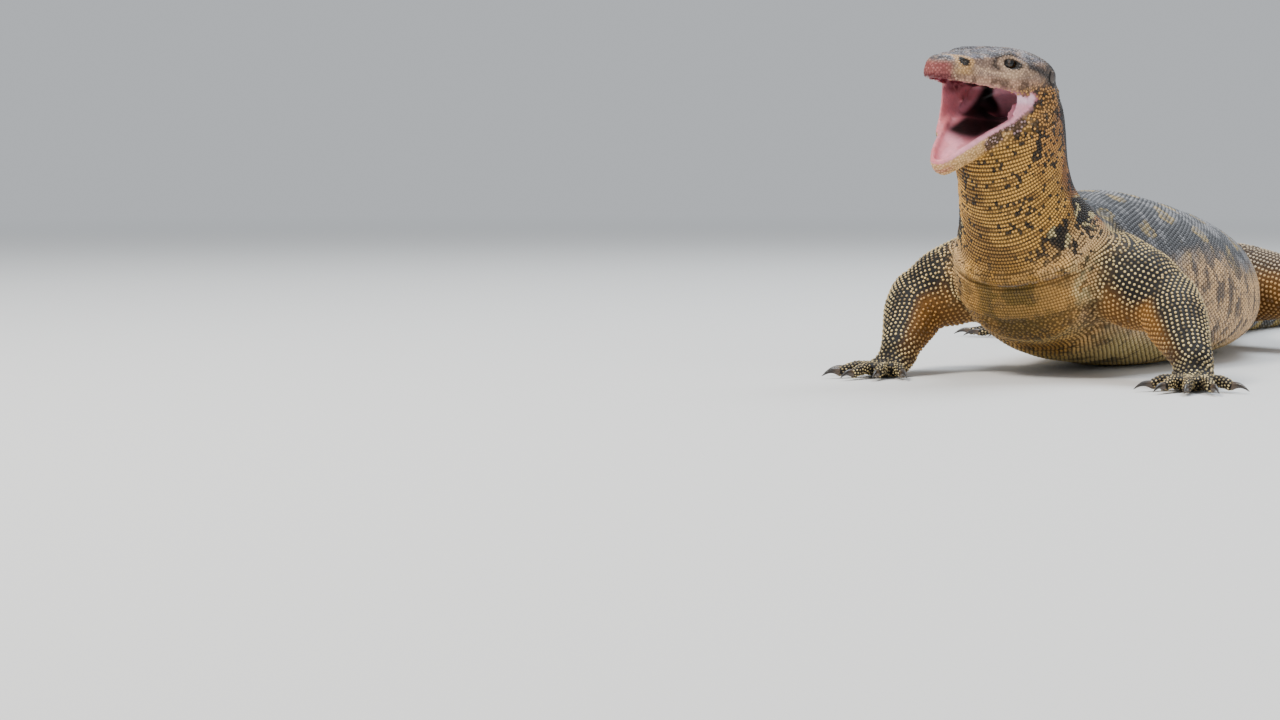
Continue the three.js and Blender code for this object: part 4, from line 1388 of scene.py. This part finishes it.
def wanted_sizes(points, places, part):
    """The sizes that scales have at each point, as in the table of scales."""
    sizes = {}
    for key in ("row", "across", "high", "long", "wide"):
        sizes[key] = sum(SCALES[group][key] * part[group] for group in GROUPS)
    tail = places["tail"]
    along = np.clip(tail.along / PATHS["tail"][0].distance[-1], 0, 1)
    thinner = 1 - (1 - TAIL_TIP_SHARE) * along * part["tail"]
    toe = np.zeros(len(points))
    for group in LIMBS:
        palm_end = PATHS[group][2].distance[-1]
        toe += part[group] * ramp(places[group].along, palm_end - 14, palm_end - 2)
    for key in ("row", "across", "high"):
        sizes[key] = sizes[key] * thinner * (1 - toe) + TOE_SCALE[key] * toe
    x, y, z = turned(points, TO_HEAD).T
    from_eye = np.linalg.norm(np.stack([np.abs(x) - 6, y, z], axis=1) - EYE["at"], axis=1)
    small = 1 - 0.35 * np.exp(-(from_eye / 9) ** 2) * part["head"]
    crown = 1 + 0.25 * ramp(z, 14, 20) * part["head"] * ramp(-y, 15, 40)
    chest = 1 - 0.18 * ramp(-points[:, 1], 150, 200) * part["trunk"]
    for key in ("row", "across"):
        sizes[key] = sizes[key] * small * crown * chest
    # The breast's scales are smaller, and leave more of the skin bare between them.
    for key in ("long", "wide"):
        sizes[key] = sizes[key] * (1 - 0.75 * (1 - chest))
    # The tail carries a double row of raised scales along its crest.
    keel = part["tail"] * np.exp(-((np.abs(tail.turn) - 0.1) / 0.12) ** 2) * ramp(tail.along, 120, 300)
    sizes["high"] = sizes["high"] * (1 + 1.6 * keel)
    return sizes


def thin_out(seeds, gap):
    """Keeps seeds in their order, and drops each that stands too close to one already kept."""
    tree = KDTree(len(seeds.root))
    for k, root in enumerate(seeds.root):
        tree.insert(root, k)
    tree.balance()
    kept = np.ones(len(seeds.root), bool)
    reach = gap * 1.15
    roots, tight, gaps = seeds.root.tolist(), seeds.tight.tolist(), gap.tolist()
    for k in range(len(roots)):
        if kept[k]:
            own = gaps[k]
            for _, other, distance in tree.find_range(roots[k], reach[k]):
                if other > k and distance < tight[other] * 0.5 * (own + gaps[other]):
                    kept[other] = False
    return kept


# A scale's base and its shoulder: their radius and height, as shares of its own, and their number.
SCALE_RINGS = [(1.0, -0.35, 0), (0.74, 0.72, 1)]


def scale_template():
    """One scale: a low hexagonal dome, as points (across, along, height, ring) and triangles."""
    angle = np.radians(30 + 60 * np.arange(6))
    points = [[r * math.cos(a), r * math.sin(a), h, ring] for r, h, ring in SCALE_RINGS for a in angle]
    points.append([0, 0, 1, 2])
    faces = []
    for k in range(6):
        after = (k + 1) % 6
        faces += [(k, after, 6 + after), (k, 6 + after, 6 + k), (6 + k, 6 + after, 12)]
    return np.array(points), np.array(faces)


def scale_mesh(name, roots, normals, ways, sizes, top, groove, spot):
    """One piece of many scales, each with its own colours and its own patch on the bake map."""
    shape, faces = scale_template()
    along = unit(ways - normals * (ways * normals).sum(1)[:, None])
    half_width = 0.5 * sizes["across"] * sizes["wide"]
    half_length = 0.56 * sizes["row"] * sizes["long"]
    steps = [(np.cross(normals, along), half_width), (along, half_length), (normals, sizes["high"])]
    points = roots[:, None] + sum(
        axis[:, None] * (shape[:, k] * size[:, None])[..., None] for k, (axis, size) in enumerate(steps)
    )
    points = lifted(points.reshape(-1, 3), SCALE_CLEAR)
    triangles = (faces[None] + np.arange(len(roots))[:, None, None] * len(shape)).reshape(-1, 3)
    mesh = bpy.data.meshes.new(name)
    mesh.vertices.add(len(points))
    mesh.loops.add(len(triangles) * 3)
    mesh.loops.foreach_set("vertex_index", triangles.astype(np.int32).ravel())
    mesh.polygons.add(len(triangles))
    mesh.polygons.foreach_set("loop_start", np.arange(len(triangles), dtype=np.int32) * 3)
    smooth(mesh)
    set_points(mesh, points)
    # Painted shade round each scale's foot and a painted highlight on its top, by mixing in the skin's
    # darker tone.
    mix = np.array(SCALE_TONES)[shape[:, 3].astype(int)][:, None]
    colour_points(mesh, (groove[:, None] * (1 - mix) + top[:, None] * mix).reshape(-1, 3))
    patch = (spot[:, None] + shape[:, :2] * PATCH / 2).reshape(-1, 2)
    bake_map = mesh.uv_layers.new(name="OFBake")
    bake_map.data.foreach_set("uv", patch[triangles.ravel()].astype(np.float32).ravel())
    return add_object(name, mesh)


def colour_points(mesh, colours):
    """Stores a colour for each point of a mesh, where its material reads it."""
    paint = mesh.color_attributes.new("paint", "FLOAT_COLOR", "POINT")
    solid = np.hstack([np.clip(colours, 0, 1), np.ones((len(colours), 1))])
    paint.data.foreach_set("color", solid.astype(np.float32).ravel())


def unwrapped(place):
    """Each point's spot on an unwrap of its group: along it one way and round it the other."""
    low, high = place.along.min(), place.along.max()
    u = 0.01 + 0.98 * (place.along - low) / max(high - low, 1)
    v = 0.01 + 0.98 * (place.turn / (2 * np.pi) + 0.5)
    return np.stack([u, v], axis=1)


def seed_skin(mesh, rng):
    """Seeds in rows first, then at the skin's own points in a random order, none of them in the mouth or in
    a small hollow. Also how far each is from these."""
    points, normals = points_of(mesh), normals_of(mesh)
    rows = row_seeds(tree_of(points, squares_of(mesh).tolist()))
    order = rng.permutation(len(points))
    seeds = Seeds(
        np.vstack([rows.root, points[order]]),
        np.vstack([rows.normal, normals[order]]),
        np.concatenate([rows.tight, np.full(len(order), CLOSENESS["gaps"])]),
    )
    mouth_gap, small_gap = mouth_distance(seeds.root), small_distance(seeds.root)
    clear = (mouth_gap >= SMOOTH_EDGE + wider_rim(seeds.root)) & (small_gap >= HOLLOW_EDGE)
    return picked(seeds, clear), mouth_gap[clear], small_gap[clear]


def lay_scales(skin, material):
    """Scales over the whole skin: rows first, then more wherever a gap is left."""
    rng = np.random.default_rng(SEED)
    seeds, mouth_gap, small_gap = seed_skin(skin.data, rng)
    places = locate(seeds.root)
    part = shares(places)
    sizes = wanted_sizes(seeds.root, places, part)
    kept = thin_out(seeds, 0.5 * (sizes["row"] + sizes["across"]))
    root, normal = seeds.root[kept], seeds.normal[kept]
    places = {group: picked(place, kept) for group, place in places.items()}
    part = {group: value[kept] for group, value in part.items()}
    sizes = {key: value[kept] for key, value in sizes.items()}
    top, groove = markings(root, normal, places, part, mouth_gap[kept], small_gap[kept])
    calm = part["head"] + part["jaw"]
    bright = 1 + UNEVEN * (1 - CALM * calm) * (rng.random(len(root)) - 0.5)
    top = top * bright[:, None]
    owner = np.argmax([part[group] for group in GROUPS], axis=0)
    for k, group in enumerate(GROUPS):
        own = np.flatnonzero(owner == k)
        own = own[np.argsort(places[group].along[own])]
        pieces = -(-len(own) // SCALES_A_PIECE)
        for number, some in enumerate(np.array_split(own, pieces)):
            place = picked(places[group], some)
            own_sizes = {key: value[some] for key, value in sizes.items()}
            piece = scale_mesh(
                f"scales_{group}_{number + 1}", root[some], normal[some], place.way, own_sizes,
                top[some], groove[some], unwrapped(place),
            )
            piece.data.materials.append(material)
            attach(piece, "root")


def feed(tree, node, inputs):
    """Sets a node's inputs by their names, each to a value or linked to another node's output."""
    for name, value in inputs.items():
        if isinstance(value, bpy.types.NodeSocket):
            tree.links.new(value, node.inputs[name])
        else:
            node.inputs[name].default_value = value


def added(tree, kind, output, inputs, **settings):
    """One output of a new node with these inputs and settings."""
    node = tree.nodes.new(kind)
    for name, value in settings.items():
        setattr(node, name, value)
    feed(tree, node, inputs)
    return node.outputs[output]


def new_material(name):
    material = bpy.data.materials.new(name)
    material.use_nodes = True
    return material, material.node_tree, material.node_tree.nodes["Principled BSDF"]


def painted(name, roughness, bump, grain, coat=0.0, soft=0.0, shine=0.5):
    """A material that takes its colour from the paint on the mesh, with a fine grain in colour, gloss and
    relief. The grain is in millimetres."""
    material, tree, shader = new_material(name)
    where = added(tree, "ShaderNodeTexCoord", "Object", {})
    paint = added(tree, "ShaderNodeAttribute", "Color", {}, attribute_name="paint")
    fine = {"Vector": where, "Scale": 1 / (grain * MM), "Detail": 3}
    speck = added(tree, "ShaderNodeTexNoise", "Fac", fine)
    finer = {"Vector": where, "Scale": 1 / (grain * 0.6 * MM)}
    cells = added(tree, "ShaderNodeTexVoronoi", "Distance", finer)
    shade = added(tree, "ShaderNodeMapRange", "Result", {"Value": speck, "To Min": 0.78, "To Max": 1.22})
    shaded = {0: paint, "Scale": shade}
    gloss = {"Value": speck, "To Min": roughness - 0.1, "To Max": roughness + 0.12}
    relief = {"Strength": bump, "Distance": 0.0004, "Height": cells}
    feed(tree, shader, {
        "Base Color": added(tree, "ShaderNodeVectorMath", "Vector", shaded, operation="SCALE"),
        "Roughness": added(tree, "ShaderNodeMapRange", "Result", gloss),
        "Normal": added(tree, "ShaderNodeBump", "Normal", relief),
        "Coat Weight": coat,
        "Coat Roughness": 0.15,
        "Specular IOR Level": shine,
        "Subsurface Weight": soft,
        "Subsurface Scale": 0.003,
    })
    return material


def finish_skin(skin):
    """Paints the skin with the same markings as its scales, and gives the mouth its own wet finish."""
    mesh = skin.data
    points, normals = points_of(mesh), normals_of(mesh)
    places = locate(points)
    mouth_gap, small_gap = mouth_distance(points), small_distance(points)
    _, groove = markings(points, normals, places, shares(places), mouth_gap, small_gap)
    colour_points(mesh, groove)
    mesh.materials.clear()
    mesh.materials.append(painted("skin", roughness=0.6, bump=0.5, grain=1.2, shine=0.25))
    mesh.materials.append(painted("mouth", roughness=0.4, bump=0.25, grain=2.5, coat=0.2, soft=0.12))
    lining = (mouth_gap - wider_rim(points))[squares_of(mesh)].mean(1) < WET_EDGE
    mesh.polygons.foreach_set("material_index", lining.astype(np.int32))
    smooth(mesh)


def painted_piece(name, points, faces, tones, finish):
    """A smooth piece with its own tones, in one finish."""
    made = mesh_object(name, points, faces)
    colour_points(made.data, tones.colour)
    made.data.materials.append(finish)
    smooth(made.data)
    return made


# Where the parts of an eye end, in degrees from the middle of its pupil, and where it looks.
IRIS = {"pupil": 19, "ring": 24, "gold": 30, "iris": 52}
SIGHT = (1.0, -0.22, 0.08)


def make_eye(name, side, finish):
    """An eyeball that looks out and a little ahead: round pupil, thin gold ring, dark iris."""
    points, faces = ball([0, 0, 0], [EYE["radius"]] * 3, around=64, down=48)
    sight = unit(np.array(on_side(SIGHT, side)))
    angle = np.degrees(np.arccos(np.clip(unit(points) @ sight, -1, 1)))
    tones = all_over(points, "eye_white").lay("iris", ramp(IRIS["iris"] - angle, 0, 5))
    tones.lay("iris_gold", 0.9 * ramp(angle, IRIS["gold"], IRIS["ring"]))
    tones.lay("pupil", ramp(IRIS["pupil"] - angle, -2, 2))
    points = turned(points + on_side(EYE["at"], side), HEAD_PLACE)
    return painted_piece(name, points, faces, tones, finish)


def make_drum(name, side, finish):
    """The ear drum, a thin membrane set in its cup."""
    x, y, z = EAR["at"]
    at = on_side([x - EAR["cup"][0] + EAR["drum"][0] + GAP, y, z], side)
    points, faces = ball(at, EAR["drum"], HEAD_PLACE)
    tones = all_over(points, "drum").lay("nape", noise(points, 2, 5))
    return painted_piece(name, points, faces, tones, finish)


def claw_rows(limb, digit):
    """Sections of one claw, which arches up from the toe's end and curves down to its point."""
    way = toe_way(limb, digit)
    start = toe_end(limb, digit) - way * CLAW["root"]
    rows = []
    for part in CLAW_PARTS:
        radius = CLAW["radius"] * (1 - CLAW["taper"] * part ** 1.2)
        x, y, _ = start + way * (CLAW["length"] + 0.6) * part
        height = start[2] + CLAW["rise"] * math.sin(math.pi * part) - CLAW["drop"] * part * part
        rows.append([x, y, height, radius * CLAW["flat"], radius, radius])
    return rows


def make_claws(limb, finish):
    """The five claws of one foot: curved, flat at the sides, pale at the root and dark at the point."""
    shells, reach = [], []
    for digit in range(5):
        points, faces = shell(path(claw_rows(limb, digit), 5), sides=24, dome=(1, 0.6))
        points = lifted(points, CLAW_CLEAR)
        shells.append((points, faces))
        reach.append(np.linalg.norm(points - toe_end(limb, digit), axis=1) / CLAW["length"])
    points, faces = joined(shells)
    tones = all_over(points, "claw_root").lay("claw", ramp(np.concatenate(reach), 0.05, 0.5))
    return painted_piece(f"claws_{limb['foot']}", points, faces, tones, finish)


skin = grow_skin()
shape_skin(skin)
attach(skin, "root")
FLESH_NODES = ["head", "lower_jaw", "neck", "torso", "tail_base", "tail_middle", "tail_end"]
for side in ("left", "right"):
    FLESH_NODES += [f"{part}_{side}" for part in ("upper_arm", "forearm", "hand", "thigh", "shank", "foot")]
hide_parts(*FLESH_NODES)
finish_skin(skin)
lay_scales(skin, painted("scales", roughness=0.45, bump=0.25, grain=1.1, coat=0.03, shine=0.4))

eye_finish = painted("eye", roughness=0.14, bump=0.0, grain=3.0)
drum_finish = painted("ear_drum", roughness=0.4, bump=0.3, grain=1.5)
claw_finish = painted("claw", roughness=0.35, bump=0.25, grain=0.9, coat=0.2)
for name, side in (("left", 1), ("right", -1)):
    eye = make_eye(f"eyeball_{name}", side, eye_finish)
    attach(eye, "root")
    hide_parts(f"eye_{name}")
    drum = make_drum(f"drum_{name}", side, drum_finish)
    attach(drum, "root")
    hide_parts(f"ear_{name}")
for limb in LIMBS.values():
    claws = make_claws(limb, claw_finish)
    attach(claws, "root")
    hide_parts(*[f"claw_{limb['foot']}_{digit}" for digit in range(1, 6)])


# The photo's view, in metres and degrees: the camera stands off from the chest on a bearing to the lizard's
# left and looks past it on another. Its lens is long, and is given as a share of the photo's width.
VIEW = {"of": (0, -0.22, 0), "distance": 2.05, "bearing": 25.0, "height": 0.16, "faces": 33.3, "down": 4.15}
SENSOR = 36
LENS_SHARE = 2660 / 1280

SKY = (0.86, 0.9, 0.95, 1)
SKY_STRENGTH = 0.62
FLOOR_TONE = (0.68, 0.68, 0.67, 1)
# How far from the lizard the floor begins to fade to the sky's tone, and where it has done so.
FADE = (1.6, 7.0)
LAMPS = [
    {"name": "key", "at": (-0.75, -2.1, 2.6), "size": 1.0, "power": 120, "colour": (1.0, 0.95, 0.88)},
    {"name": "fill", "at": (2.6, -1.2, 1.4), "size": 2.0, "power": 22, "colour": (1.0, 1.0, 1.0)},
    {"name": "top", "at": (0.2, 1.2, 3.0), "size": 1.8, "power": 110, "colour": (0.86, 0.93, 1.0)},
]
LAMPS_AIM = Vector((0, -0.1, 0.1))


def aimed(name, data, at, look):
    """A camera or a lamp that looks one way."""
    made = add_object(name, data)
    made.location = at
    made.rotation_mode = "QUATERNION"
    made.rotation_quaternion = look.to_track_quat("-Z", "Y")
    return made


def ahead_of(bearing):
    """The level way that points ahead of the lizard and a bearing to its left."""
    return Vector((math.sin(bearing), -math.cos(bearing), 0))


def place_camera():
    """The photo's view: a long lens low in front of the lizard, a little to its left."""
    stand_off = VIEW["distance"] * ahead_of(math.radians(VIEW["bearing"]))
    at = Vector(VIEW["of"]) + stand_off + Vector((0, 0, VIEW["height"]))
    down = math.radians(VIEW["down"])
    look = -math.cos(down) * ahead_of(math.radians(VIEW["faces"])) - Vector((0, 0, math.sin(down)))
    data = bpy.data.cameras.new("camera")
    data.sensor_width = SENSOR
    data.lens = LENS_SHARE * SENSOR
    bpy.context.scene.camera = aimed("camera", data, at, look)


def floor_finish():
    """A pale floor that fades to the sky's own tone further off, so that no horizon shows."""
    material, tree, plain = new_material("floor")
    feed(tree, plain, {"Base Color": FLOOR_TONE, "Roughness": 0.85})
    where = added(tree, "ShaderNodeTexCoord", "Object", {})
    away = added(tree, "ShaderNodeVectorMath", "Value", {0: where}, operation="LENGTH")
    reach = {"Value": away, "From Min": FADE[0], "From Max": FADE[1]}
    fade = added(tree, "ShaderNodeMapRange", "Result", reach, interpolation_type="SMOOTHSTEP")
    far = added(tree, "ShaderNodeEmission", "Emission", {"Color": SKY, "Strength": SKY_STRENGTH})
    mix = {"Fac": fade, 1: plain.outputs["BSDF"], 2: far}
    surface = added(tree, "ShaderNodeMixShader", "Shader", mix)
    feed(tree, tree.nodes["Material Output"], {"Surface": surface})
    return material


def build_stage():
    bpy.ops.mesh.primitive_circle_add(vertices=64, radius=60, fill_type="NGON", location=(0, 0, -0.0005))
    floor = bpy.context.object
    floor.name = "floor"
    floor.data.materials.append(floor_finish())
    world = bpy.data.worlds.new("studio")
    world.use_nodes = True
    feed(world.node_tree, world.node_tree.nodes["Background"], {"Color": SKY, "Strength": SKY_STRENGTH})
    bpy.context.scene.world = world
    for lamp in LAMPS:
        data = bpy.data.lights.new(lamp["name"], "AREA")
        data.size = lamp["size"]
        data.energy = lamp["power"]
        data.color = lamp["colour"]
        aimed(lamp["name"], data, lamp["at"], LAMPS_AIM - Vector(lamp["at"]))


place_camera()
build_stage()
